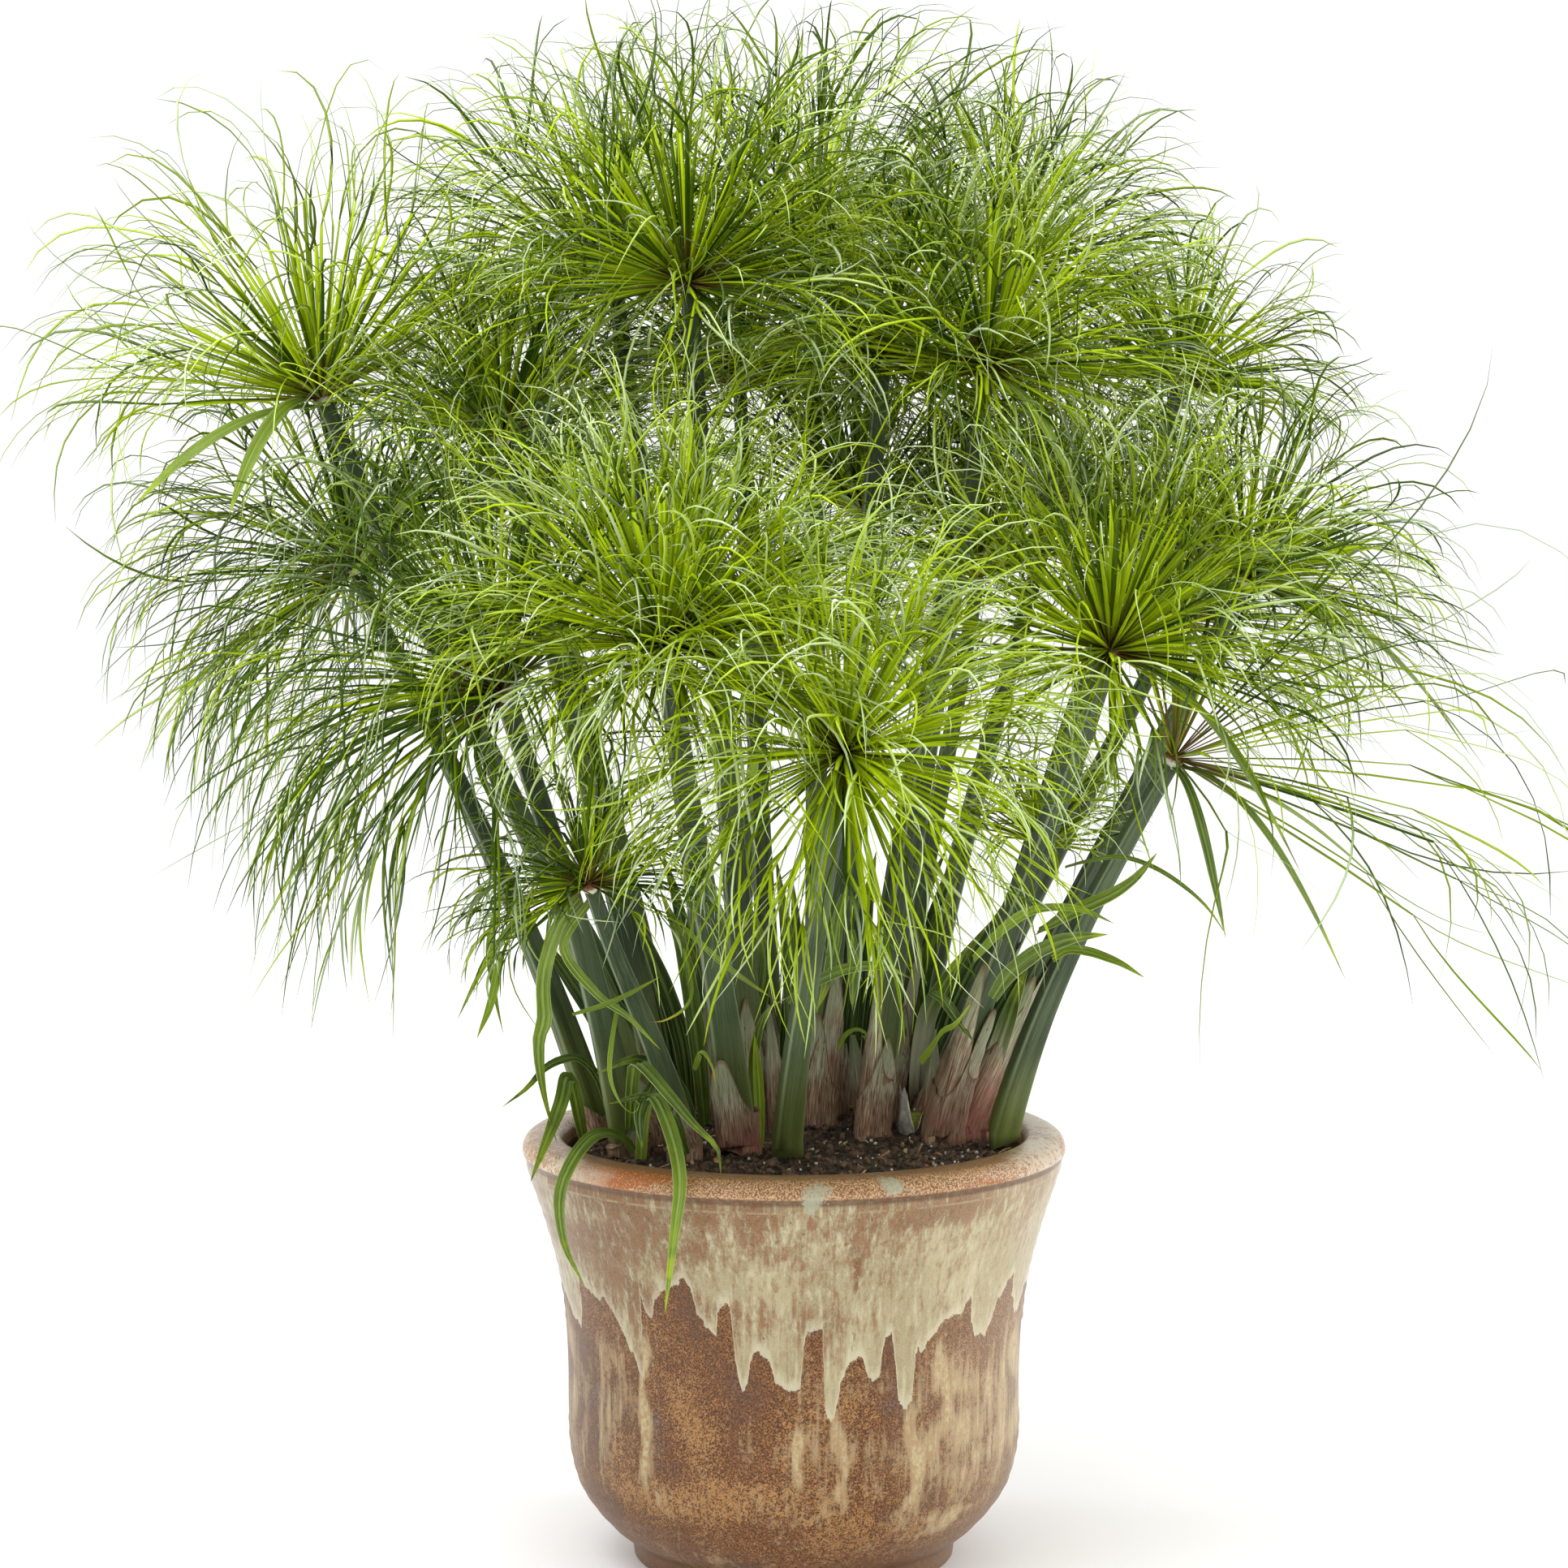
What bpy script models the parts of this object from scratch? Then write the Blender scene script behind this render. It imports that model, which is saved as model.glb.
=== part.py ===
# Potted papyrus plant: a glazed stoneware pot full of soil, three-sided stems planted in it,
# each topped by an umbel of drooping rays and leafy bracts, and a few strap leaves at the foot.
# Metres, +Z up. The origin is the centre of the flat underside of the pot.

import math
from collections import namedtuple

import bmesh
import bpy
import numpy as np
from mathutils import Vector

# Driving dimensions
POT_HEIGHT = 0.290
RIM_RADIUS = 0.182
MOUTH_RADIUS = 0.153
BELLY_RADIUS = 0.152
FOOT_RADIUS = 0.108
FLOOR_THICKNESS = 0.022
SOIL_TOP = 0.280
SOIL_FLAT_RADIUS = 0.146
SOIL_EDGE_DROP = 0.006
TURN_STEPS = 26

TOUCH_GAP = 0.0003
UPRIGHT_FOOT = 0.012
STEM_STEPS = 5
RAY_STEPS = 3
STRAP_STEPS = 6
HUB_RADIUS = 0.013
HUB_CUT = 0.55
RAY_WIDTH = 0.0055
RAY_TIP_WIDTH = 0.0030
BRACT_WIDTH = 0.015
BRACT_THICKNESS = 0.0024
LEAF_THICKNESS = 0.0010
LEAF_FOLD = 0.22

CLEARANCE = 0.0015
PROBE_STEP = 0.004
RAY_TRIES = 90
OWN_HUB_REACH = 0.032
CROWN_SPREAD = math.radians(112)
GOLDEN_ANGLE = math.pi * (3 - math.sqrt(5))
DOWN = Vector((0, 0, -1))
UP = Vector((0, 0, 1))

# One culm is a stem and its umbel. root is its place on the soil, hub the top of the stem, face the way
# that the umbel looks, reach the length of its rays, droop how far they sag in terms of that length.
Culm = namedtuple("Culm", "root hub width reach rays droop face bracts")


def culm(root, hub, width, reach, rays, droop, face, *bracts):
    return Culm(Vector((*root, SOIL_TOP + TOUCH_GAP)), Vector(hub), width, reach, rays, droop,
                Vector(face).normalized(), bracts)


# A bract is given by its compass angle and its slope in degrees, its length and its droop.
CULMS = (
    culm((-0.100, 0.004), (-0.310, 0.000, 0.775), 0.023, 0.215, 15, 0.28, (-0.25, -0.10, 0.95),
         (200, 5, 0.17, 0.50), (235, 25, 0.10, 1.20)),
    culm((-0.134, 0.022), (-0.300, 0.110, 0.655), 0.022, 0.185, 12, 0.45, (-0.55, 0.10, 0.80)),
    culm((-0.090, 0.045), (-0.192, 0.000, 0.750), 0.022, 0.145, 12, 0.32, (-0.10, -0.25, 0.95),
         (215, -5, 0.12, 0.70)),
    culm((-0.052, 0.092), (-0.123, 0.120, 0.854), 0.023, 0.180, 13, 0.30, (-0.10, 0.05, 0.98),
         (190, 0, 0.13, 0.80)),
    culm((-0.030, 0.034), (-0.069, -0.040, 0.850), 0.024, 0.180, 14, 0.30, (0.00, -0.20, 0.98),
         (10, 10, 0.14, 0.90), (170, 0, 0.13, 0.90)),
    culm((-0.016, 0.118), (-0.038, 0.160, 0.783), 0.020, 0.150, 9, 0.35, (0.00, 0.20, 0.98)),
    culm((0.016, 0.046), (0.058, 0.015, 0.800), 0.022, 0.165, 13, 0.32, (0.05, -0.15, 0.98),
         (185, 20, 0.19, 0.35)),
    culm((0.016, 0.128), (0.013, 0.230, 0.865), 0.022, 0.210, 13, 0.32, (0.00, 0.25, 0.96)),
    culm((0.050, 0.118), (0.147, 0.250, 0.860), 0.022, 0.185, 13, 0.32, (0.20, 0.30, 0.93)),
    culm((0.052, 0.020), (0.125, -0.040, 0.796), 0.022, 0.175, 13, 0.34, (0.10, -0.15, 0.98),
         (300, 0, 0.12, 0.80)),
    culm((0.116, 0.062), (0.263, 0.110, 0.783), 0.023, 0.162, 14, 0.38, (0.35, 0.10, 0.92)),
    culm((0.034, 0.082), (0.047, 0.160, 0.690), 0.020, 0.150, 10, 0.16, (0.00, -0.05, 1.00),
         (250, 40, 0.11, 0.60)),
    culm((0.062, 0.060), (0.125, 0.100, 0.650), 0.020, 0.130, 10, 0.18, (0.10, -0.10, 1.00),
         (160, 35, 0.12, 0.60)),
    culm((-0.039, -0.030), (-0.078, -0.260, 0.633), 0.026, 0.175, 16, 0.28, (0.02, -0.55, 0.83),
         (330, 5, 0.13, 0.50)),
    culm((-0.112, -0.034), (-0.182, -0.180, 0.597), 0.024, 0.200, 16, 0.62, (-0.50, -0.40, 0.75),
         (205, 0, 0.18, 0.90)),
    culm((-0.006, -0.052), (0.029, -0.305, 0.572), 0.022, 0.150, 14, 0.36, (0.05, -0.85, 0.52),
         (260, -10, 0.12, 0.50)),
    culm((-0.074, -0.050), (-0.127, -0.200, 0.479), 0.020, 0.095, 8, 0.45, (-0.15, -0.50, 0.85),
         (190, 5, 0.060, 2.70), (170, 15, 0.085, 1.30)),
    culm((0.100, 0.008), (0.198, -0.150, 0.620), 0.025, 0.170, 14, 0.30, (0.10, -0.30, 0.95),
         (180, 5, 0.15, 0.35), (330, 0, 0.13, 1.00)),
    culm((0.104, 0.092), (0.270, 0.210, 0.615), 0.022, 0.190, 13, 0.42, (0.50, 0.25, 0.83)),
    culm((0.128, 0.026), (0.299, 0.015, 0.655), 0.024, 0.158, 12, 0.45, (0.50, -0.10, 0.85),
         (345, 0, 0.16, 0.75), (20, 5, 0.17, 0.80)),
    culm((0.134, -0.012), (0.243, -0.090, 0.546), 0.023, 0.285, 13, 0.32, (0.75, -0.25, 0.61),
         (330, 0, 0.12, 1.10), (0, -5, 0.15, 0.55), (300, -10, 0.06, 1.60)),
    culm((0.088, 0.044), (0.165, 0.000, 0.480), 0.016, 0.070, 6, 0.30, (0.10, -0.20, 0.95)),
    culm((-0.086, 0.094), (-0.190, 0.280, 0.700), 0.022, 0.175, 12, 0.36, (-0.30, 0.45, 0.84)),
    culm((-0.048, 0.124), (-0.020, 0.300, 0.600), 0.021, 0.160, 10, 0.40, (0.00, 0.60, 0.80),
         (80, 0, 0.12, 0.80)),
    culm((0.078, 0.108), (0.190, 0.290, 0.700), 0.021, 0.170, 11, 0.36, (0.30, 0.45, 0.84)),
)

# A strap leaf is a curve through four guide points and its greatest width.
Strap = namedtuple("Strap", "start rise fall tip width")


def strap(width, *guides):
    return Strap(*(Vector(point) for point in guides), width)


STRAPS = (
    strap(0.013, (-0.128, -0.040, 0.281), (-0.135, -0.075, 0.335),
          (-0.160, -0.150, 0.300), (-0.139, -0.165, 0.190)),
    strap(0.015, (-0.100, -0.088, 0.281), (-0.100, -0.110, 0.375),
          (-0.072, -0.205, 0.330), (-0.084, -0.190, 0.186)),
    strap(0.010, (-0.118, -0.012, 0.281), (-0.125, -0.020, 0.370),
          (-0.165, -0.030, 0.375), (-0.195, -0.040, 0.318)),
    strap(0.016, (0.096, -0.052, 0.281), (0.105, -0.060, 0.400),
          (0.150, -0.090, 0.455), (0.208, -0.085, 0.425)),
    strap(0.013, (0.112, -0.022, 0.281), (0.130, -0.018, 0.360),
          (0.175, -0.012, 0.440), (0.234, -0.012, 0.385)),
    strap(0.013, (0.030, -0.020, 0.281), (0.030, -0.030, 0.380),
          (0.022, -0.045, 0.400), (-0.010, -0.090, 0.395)),
)


class Room:
    """What is already placed, kept as round-ended rods, so that a new ray finds a free way."""

    def __init__(self):
        self.rods = np.zeros((0, 8))

    def add(self, points, radii, owner):
        rows = [(*a, *b, max(ra, rb), owner) for a, b, ra, rb in zip(points, points[1:], radii, radii[1:])]
        self.rods = np.vstack([self.rods, np.array(rows)])

    def is_free(self, points, radius, owner):
        """True where the line through points touches no rod; near its hub it may be close to its owner's."""
        probes, walked = probe_points(points)
        if pot_is_near(probes):
            return False
        start = self.rods[:, 0:3]
        run = self.rods[:, 3:6] - start
        away = probes[:, None, :] - start[None, :, :]
        share = np.clip((away * run).sum(2) / (run * run).sum(1), 0, 1)
        distance = np.linalg.norm(away - share[:, :, None] * run, axis=2)
        touches = distance < self.rods[:, 6] + radius + CLEARANCE
        excused = (self.rods[:, 7] == owner)[None, :] & (walked < OWN_HUB_REACH)[:, None]
        return not (touches & ~excused).any()


def probe_points(points):
    """Points a few millimetres apart along a line past its hub, and how far along it each one is."""
    probes = []
    walked = []
    done = 0.0
    for a, b in zip(points, points[1:]):
        length = (b - a).length
        count = max(2, math.ceil(length / PROBE_STEP))
        for i in range(1, count + 1):
            probes.append(tuple(a.lerp(b, i / count)))
            walked.append(done + length * i / count)
        done += length
    return np.array(probes), np.array(walked)


def pot_is_near(probes):
    radius = np.hypot(probes[:, 0], probes[:, 1])
    return bool(((radius < RIM_RADIUS + RAY_WIDTH) & (probes[:, 2] < POT_HEIGHT + 2 * RAY_WIDTH)).any())


def clear_scene():
    for item in list(bpy.data.objects):
        bpy.data.objects.remove(item)


def new_collection(name):
    collection = bpy.data.collections.new(name)
    bpy.context.scene.collection.children.link(collection)
    return collection


def new_material(name, colour, roughness, metallic=0.0):
    material = bpy.data.materials.new(name)
    material.use_nodes = True
    shader = material.node_tree.nodes["Principled BSDF"]
    shader.inputs["Base Color"].default_value = (*colour, 1)
    shader.inputs["Roughness"].default_value = roughness
    shader.inputs["Metallic"].default_value = metallic
    return material


def place(name, data, collection, material):
    item = bpy.data.objects.new(name, data)
    data.materials.append(material)
    collection.objects.link(item)
    return item


def turned(name, profile, collection, material):
    """A round piece: the profile runs down the outer side at +X and is turned about the Z axis."""
    mesh = bpy.data.meshes.new(name)
    sketch = bmesh.new()
    corners = [sketch.verts.new((r, 0, z)) for r, z in profile]
    for a, b in zip(corners, corners[1:]):
        sketch.edges.new((a, b))
    if profile[0][0] > 0:
        sketch.edges.new((corners[-1], corners[0]))
    sketch.to_mesh(mesh)
    sketch.free()
    item = place(name, mesh, collection, material)
    screw = item.modifiers.new("turn", "SCREW")
    screw.steps = TURN_STEPS
    screw.render_steps = TURN_STEPS
    screw.use_merge_vertices = True
    screw.merge_threshold = 0.00001
    return item


def inner_wall(gap):
    """The pot's inside from the mouth down to the floor, moved inward by gap."""
    wall = [(MOUTH_RADIUS, 0.240), (0.144, 0.180), (0.140, 0.090), (0.122, 0.042), (0.095, FLOOR_THICKNESS)]
    return [(radius - gap, height + (gap if height == FLOOR_THICKNESS else 0)) for radius, height in wall]


def make_pot(collection, material):
    lip = [(MOUTH_RADIUS, POT_HEIGHT - 0.004), (0.158, POT_HEIGHT), (0.172, POT_HEIGHT),
           (RIM_RADIUS - 0.002, POT_HEIGHT - 0.005), (RIM_RADIUS, POT_HEIGHT - 0.011), (0.179, 0.269)]
    side = [(0.1695, 0.239), (0.1600, 0.207), (0.1545, 0.175), (BELLY_RADIUS, 0.130), (0.1515, 0.080),
            (0.1440, 0.052), (0.1310, 0.033), (0.1120, 0.015)]
    foot = [(FOOT_RADIUS, 0.011), (FOOT_RADIUS, 0.002), (FOOT_RADIUS - 0.002, 0), (0, 0)]
    profile = [(0, FLOOR_THICKNESS)] + inner_wall(0)[::-1] + lip + side + foot
    return turned("pot", profile, collection, material)


def make_soil(collection, material):
    wall = inner_wall(TOUCH_GAP)
    top = [(0, SOIL_TOP), (SOIL_FLAT_RADIUS, SOIL_TOP), (wall[0][0], SOIL_TOP - SOIL_EDGE_DROP)]
    profile = top + wall + [(0, wall[-1][1])]
    return turned("soil", profile, collection, material)


def bezier(a, b, c, d, t):
    s = 1 - t
    return a * s ** 3 + b * 3 * s * s * t + c * 3 * s * t * t + d * t ** 3


def stem_line(one):
    """Points up a stem: straight up out of the soil, then leaning out to its umbel."""
    span = one.hub - one.root
    way = span.normalized()
    first = one.root + UP * UPRIGHT_FOOT
    low = first + (way * 3 + UP).normalized() * span.length / 3
    high = one.hub - (way * 4 + one.face).normalized() * span.length / 3
    return [one.root] + [bezier(first, low, high, one.hub, i / STEM_STEPS) for i in range(STEM_STEPS + 1)]


def stem_radii(one, count):
    """Half the width of the three-sided stem: thick in its sheath at the foot, slim under the umbel."""
    slim = one.width / math.sqrt(3)
    return [slim * (0.98 - 0.07 * min(i, 2) - 0.24 * i / (count - 1)) for i in range(count)]


def make_triangle_guide(collection):
    """The three-sided outline that a stem's curve is swept with."""
    curve = bpy.data.curves.new("stem_section", "CURVE")
    line = curve.splines.new("POLY")
    line.points.add(2)
    for i, point in enumerate(line.points):
        angle = -math.tau * i / 3
        point.co = (math.cos(angle), math.sin(angle), 0, 1)
    line.use_cyclic_u = True
    guide = bpy.data.objects.new("stem_section", curve)
    guide.hide_render = True
    guide.display_type = "WIRE"
    collection.objects.link(guide)
    return guide


def make_stem(name, one, guide, collection, material):
    curve = bpy.data.curves.new(name, "CURVE")
    curve.dimensions = "3D"
    curve.twist_mode = "MINIMUM"
    curve.bevel_mode = "OBJECT"
    curve.bevel_object = guide
    curve.use_fill_caps = True
    points = stem_line(one)
    radii = stem_radii(one, len(points))
    line = curve.splines.new("POLY")
    line.points.add(len(points) - 1)
    for spot, co, radius in zip(line.points, points, radii):
        spot.co = (*co, 1)
        spot.radius = radius
    return place(name, curve, collection, material)


def arc(start, direction, length, droop, steps):
    """A ray's line: it leaves the hub straight and sags towards its tip, less where it stands upright."""
    flat = math.hypot(direction.x, direction.y)
    sag = length * droop * (0.3 + 0.7 * flat)
    shares = [i / steps for i in range(steps + 1)]
    return [start + direction * length * t + DOWN * sag * t * t for t in shares]


def cap_direction(face, share, turn):
    """A direction in the cap around face: share 0 is its middle and 1 its edge, turn goes round it."""
    side = face.orthogonal().normalized()
    other = face.cross(side)
    height = 1 - (1 - math.cos(CROWN_SPREAD)) * share
    flat = math.sqrt(max(0, 1 - height * height))
    return (face * height + (side * math.cos(turn) + other * math.sin(turn)) * flat).normalized()


def compass_direction(compass, slope):
    a = math.radians(compass)
    s = math.radians(slope)
    return Vector((math.cos(a) * math.cos(s), math.sin(a) * math.cos(s), math.sin(s)))


def hub_frame(one):
    points = stem_line(one)
    axis = (points[-1] - points[-2]).normalized()
    centre = one.hub + axis * (HUB_RADIUS * HUB_CUT + TOUCH_GAP)
    return centre, axis


def plan_bracts(number, one, room, chance):
    centre = hub_frame(one)[0]
    found = []
    for compass, slope, length, droop in one.bracts:
        for attempt in range(RAY_TRIES):
            swing = attempt * 1.2 * (1 if attempt % 2 else -1)
            direction = compass_direction(compass + swing, slope + chance.uniform(-1, 1) * attempt * 0.3)
            line = arc(centre, direction, length, droop, RAY_STEPS)
            if room.is_free(line, BRACT_WIDTH * 0.5, number):
                found.append((direction, line, BRACT_WIDTH, BRACT_THICKNESS))
                room.add(line, [BRACT_WIDTH * 0.5] * (RAY_STEPS + 1), number)
                break
    return found


def plan_rays(number, one, room, chance):
    centre, axis = hub_frame(one)
    found = []
    start_turn = chance.uniform(0, math.tau)
    for i in range(one.rays):
        for attempt in range(RAY_TRIES):
            wander = 0.008 * attempt
            share = min(1, max(0, (i + 0.5) / one.rays + chance.uniform(-1, 1) * wander * 0.5))
            turn = start_turn + i * GOLDEN_ANGLE + chance.uniform(-1, 1) * wander * 3
            direction = cap_direction(one.face, share, turn)
            if direction.dot(axis) < -0.45:
                continue
            length = one.reach * (1 - 0.10 * chance.random() - 0.001 * attempt)
            droop = one.droop * (0.85 + 0.3 * chance.random())
            line = arc(centre, direction, length, droop, RAY_STEPS)
            if room.is_free(line, RAY_WIDTH * 0.5, number):
                found.append((direction, line, RAY_WIDTH, RAY_WIDTH))
                room.add(line, [RAY_WIDTH * 0.5] * (RAY_STEPS + 1), number)
                break
    return found


def hub_start(axis, centre):
    """A small round head with its underside cut flat where the stem meets it."""
    shape = bmesh.new()
    bmesh.ops.create_icosphere(shape, subdivisions=2, radius=HUB_RADIUS)
    turn = UP.rotation_difference(axis).to_matrix()
    bmesh.ops.rotate(shape, verts=shape.verts, cent=(0, 0, 0), matrix=turn)
    cut = bmesh.ops.bisect_plane(shape, geom=shape.verts[:] + shape.edges[:] + shape.faces[:],
                                 plane_co=-axis * HUB_RADIUS * HUB_CUT, plane_no=axis, clear_inner=True)
    rim = [g for g in cut["geom_cut"] if isinstance(g, bmesh.types.BMEdge)]
    bmesh.ops.contextual_create(shape, geom=rim)
    bmesh.ops.translate(shape, verts=shape.verts, vec=centre)
    return shape


def grow_ray(shape, start, line, width, thickness):
    """Draws one face of the hub out along line, narrower at each step and to a point at the end."""
    face = start
    for i in range(1, len(line)):
        tangent = (line[i] - line[i - 1]).normalized()
        side = tangent.cross(UP)
        side = side.normalized() if side.length > 0.05 else Vector((1, 0, 0))
        top = side.cross(tangent)
        middle = face.calc_center_median()
        offsets = [corner.co - middle for corner in face.verts]
        face = bmesh.ops.extrude_discrete_faces(shape, faces=[face])["faces"][0]
        share = i / (len(line) - 1)
        size = width + (RAY_TIP_WIDTH - width) * max(0, share - 0.4)
        for corner, offset in zip(face.verts, offsets):
            across = Vector((offset.dot(side), offset.dot(top))).normalized()
            corner.co = line[i] + side * across.x * size * 0.55 + top * across.y * thickness * 0.55
        if i == len(line) - 1:
            bmesh.ops.pointmerge(shape, verts=face.verts[:], merge_co=line[i])


def make_umbel(name, one, rays, collection, material):
    centre, axis = hub_frame(one)
    shape = hub_start(axis, centre)
    free = [face for face in shape.faces if len(face.verts) == 3 and face.normal.dot(axis) > -0.75]
    pairs = []
    for direction, line, width, thickness in rays:
        start = max(free, key=lambda face: face.normal.dot(direction))
        free.remove(start)
        pairs.append((start, line, width, thickness))
    for start, line, width, thickness in pairs:
        grow_ray(shape, start, line, width, thickness)
    mesh = bpy.data.meshes.new(name)
    shape.to_mesh(mesh)
    shape.free()
    return place(name, mesh, collection, material)


def strap_line(leaf, steps):
    return [bezier(*leaf[:4], i / steps) for i in range(steps + 1)]


def strap_half_width(leaf, share):
    """Widest past the middle and a fine point at the tip."""
    return leaf.width * 0.5 * (0.45 + 0.9 * share - 0.2 * share ** 2 - 1.05 * share ** 5)


def make_strap(name, leaf, collection, material):
    """A folded strip, bent along its line, that Solidify gives its thickness."""
    line = strap_line(leaf, STRAP_STEPS)
    mesh = bpy.data.meshes.new(name)
    shape = bmesh.new()
    bmesh.ops.create_grid(shape, x_segments=2, y_segments=STRAP_STEPS, size=1)
    for corner in shape.verts:
        i = round((corner.co.y + 1) / 2 * STRAP_STEPS)
        across = round(corner.co.x)
        ahead = line[min(i + 1, STRAP_STEPS)] - line[max(i - 1, 0)]
        side = ahead.cross(UP).normalized()
        lift = side.cross(ahead).normalized()
        half = strap_half_width(leaf, i / STRAP_STEPS)
        corner.co = line[i] + side * across * half + lift * abs(across) * half * LEAF_FOLD
    bmesh.ops.recalc_face_normals(shape, faces=shape.faces)
    shape.to_mesh(mesh)
    shape.free()
    item = place(name, mesh, collection, material)
    thicken = item.modifiers.new("thickness", "SOLIDIFY")
    thicken.thickness = LEAF_THICKNESS
    thicken.offset = 0
    return item


def build():
    clear_scene()
    plant = new_collection("potted_papyrus")
    guides = new_collection("guides")
    glaze = new_material("glazed_stoneware", (0.42, 0.29, 0.18), 0.35)
    earth = new_material("potting_soil", (0.035, 0.022, 0.014), 0.95)
    stem_green = new_material("stem_skin", (0.13, 0.19, 0.10), 0.45)
    ray_green = new_material("ray_green", (0.16, 0.30, 0.03), 0.50)
    leaf_green = new_material("leaf_green", (0.12, 0.25, 0.03), 0.45)
    make_pot(plant, glaze)
    make_soil(plant, earth)
    section = make_triangle_guide(guides)
    room = Room()
    for number, one in enumerate(CULMS, 1):
        points = stem_line(one)
        room.add(points, stem_radii(one, len(points)), number)
        centre, axis = hub_frame(one)
        room.add([centre, centre + axis * HUB_RADIUS * 0.1], [HUB_RADIUS] * 2, number)
    for number, leaf in enumerate(STRAPS, 1):
        room.add(strap_line(leaf, STRAP_STEPS), [leaf.width * 0.5] * (STRAP_STEPS + 1), 0)
        make_strap(f"basal_leaf_{number}", leaf, plant, leaf_green)
    chance = np.random.default_rng(7)
    bracts = [plan_bracts(number, one, room, chance) for number, one in enumerate(CULMS, 1)]
    for number, one in enumerate(CULMS, 1):
        rays = bracts[number - 1] + plan_rays(number, one, room, chance)
        make_stem(f"stem_{number:02d}", one, section, plant, stem_green)
        make_umbel(f"umbel_{number:02d}", one, rays, plant, ray_green)


build()
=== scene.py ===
# %% [markdown]
# # A potted papyrus
# A papyrus is a waterside sedge. Three-sided stems rise from one clump, and each ends in an
# umbel: a round tuft of a hundred or more thin rays, every ray splitting into long threads.
# This one stands in a turned stoneware pot whose pale glaze ran down over a rust-brown body.
#
# A plain CAD model of the plant is loaded first. It says where every stem, umbel and leaf is and
# how large it is, and the lesson models the finished pieces over it, so nothing is placed by eye.

import math
from collections import namedtuple

import bpy
import numpy as np
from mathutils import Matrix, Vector, noise


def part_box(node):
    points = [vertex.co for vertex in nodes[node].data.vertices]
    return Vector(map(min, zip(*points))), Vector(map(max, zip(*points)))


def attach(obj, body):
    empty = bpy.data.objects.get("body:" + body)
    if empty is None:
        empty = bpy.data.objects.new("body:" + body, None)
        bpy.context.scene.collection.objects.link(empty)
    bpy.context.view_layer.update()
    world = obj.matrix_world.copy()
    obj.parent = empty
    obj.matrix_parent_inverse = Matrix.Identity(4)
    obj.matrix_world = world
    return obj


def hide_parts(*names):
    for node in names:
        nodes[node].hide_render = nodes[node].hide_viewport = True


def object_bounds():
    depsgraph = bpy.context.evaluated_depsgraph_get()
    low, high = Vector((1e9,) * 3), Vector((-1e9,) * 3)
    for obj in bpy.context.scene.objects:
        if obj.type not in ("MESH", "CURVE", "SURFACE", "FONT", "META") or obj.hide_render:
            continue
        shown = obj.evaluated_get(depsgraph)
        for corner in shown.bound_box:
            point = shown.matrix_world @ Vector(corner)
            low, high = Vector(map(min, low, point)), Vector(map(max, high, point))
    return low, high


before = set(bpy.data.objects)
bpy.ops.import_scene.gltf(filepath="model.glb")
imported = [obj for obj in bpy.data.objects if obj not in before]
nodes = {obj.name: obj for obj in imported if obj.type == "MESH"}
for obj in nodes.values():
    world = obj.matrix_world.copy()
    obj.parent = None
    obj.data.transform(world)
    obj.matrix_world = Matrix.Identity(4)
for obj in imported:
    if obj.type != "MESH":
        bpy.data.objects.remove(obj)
cad_low, cad_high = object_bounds()
UP = np.array((0.0, 0.0, 1.0))
print(len(nodes), "CAD nodes, from", tuple(cad_low), "to", tuple(cad_high))

# %% [markdown]
# ## Camera, floor and light
# The picture is taken from three metres away with a long lens, a little above the umbels, so the
# pot's rim shows as a shallow ellipse. A white room with no corners lights the plant from every
# side, which keeps the threads crisp and the shadows soft. The world's own white does that with
# no noise, and three large lamps give the glaze its long reflections.

# %% Camera
CAMERA_PLACE = Vector((-0.0065, -3.0, 0.844))
CAMERA_AIM = Vector((-0.0065, 0.0, 0.523))
SENSOR_MM = 36
LENS_MM = 104


def towards(place, aim):
    """The rotation of a camera or a lamp at place that faces aim."""
    return (Vector(aim) - Vector(place)).to_track_quat("-Z", "Y").to_euler()


bpy.ops.object.camera_add(location=CAMERA_PLACE, rotation=towards(CAMERA_PLACE, CAMERA_AIM))
camera = bpy.context.object
camera.data.sensor_width = SENSOR_MM
camera.data.lens = LENS_MM
bpy.context.scene.camera = camera
print("camera", round((CAMERA_AIM - CAMERA_PLACE).length, 2), "m from the plant")

# %% World and lamps
ROOM_BRIGHTNESS = 1.08
LAMPS = {
    "top_lamp": ((-0.6, -0.9, 2.6), (0.0, 0.0, 0.6), (1.6, 1.6), 58),
    "left_lamp": ((-2.2, 0.5, 1.0), (0.0, 0.0, 0.4), (0.7, 2.2), 14),
    "right_lamp": ((2.2, 0.1, 1.0), (0.0, 0.0, 0.4), (0.7, 2.2), 22),
}

world = bpy.data.worlds.new("white_room")
world.use_nodes = True
room = world.node_tree.nodes["Background"].inputs
room["Color"].default_value = (1.0, 1.0, 1.0, 1.0)
room["Strength"].default_value = ROOM_BRIGHTNESS
bpy.context.scene.world = world
bpy.context.scene.view_settings.view_transform = "Standard"
for name, (place, aim, size, watts) in LAMPS.items():
    bpy.ops.object.light_add(type="AREA", location=place, rotation=towards(place, aim))
    lamp = bpy.context.object
    lamp.name = name
    lamp.data.shape = "RECTANGLE"
    lamp.data.size, lamp.data.size_y = size
    lamp.data.energy = watts
print("lamps:", list(LAMPS))


# %% [markdown]
# ## Writing a material as a sum
# A finish is a pile of small decisions, such as brown where the noise is high and the glaze is
# thin. In nodes that becomes a web that is hard to read. Wrapping a socket in a small class
# lets Python's own operators add the Math nodes, so a mask reads like the sentence it stands for.

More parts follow.
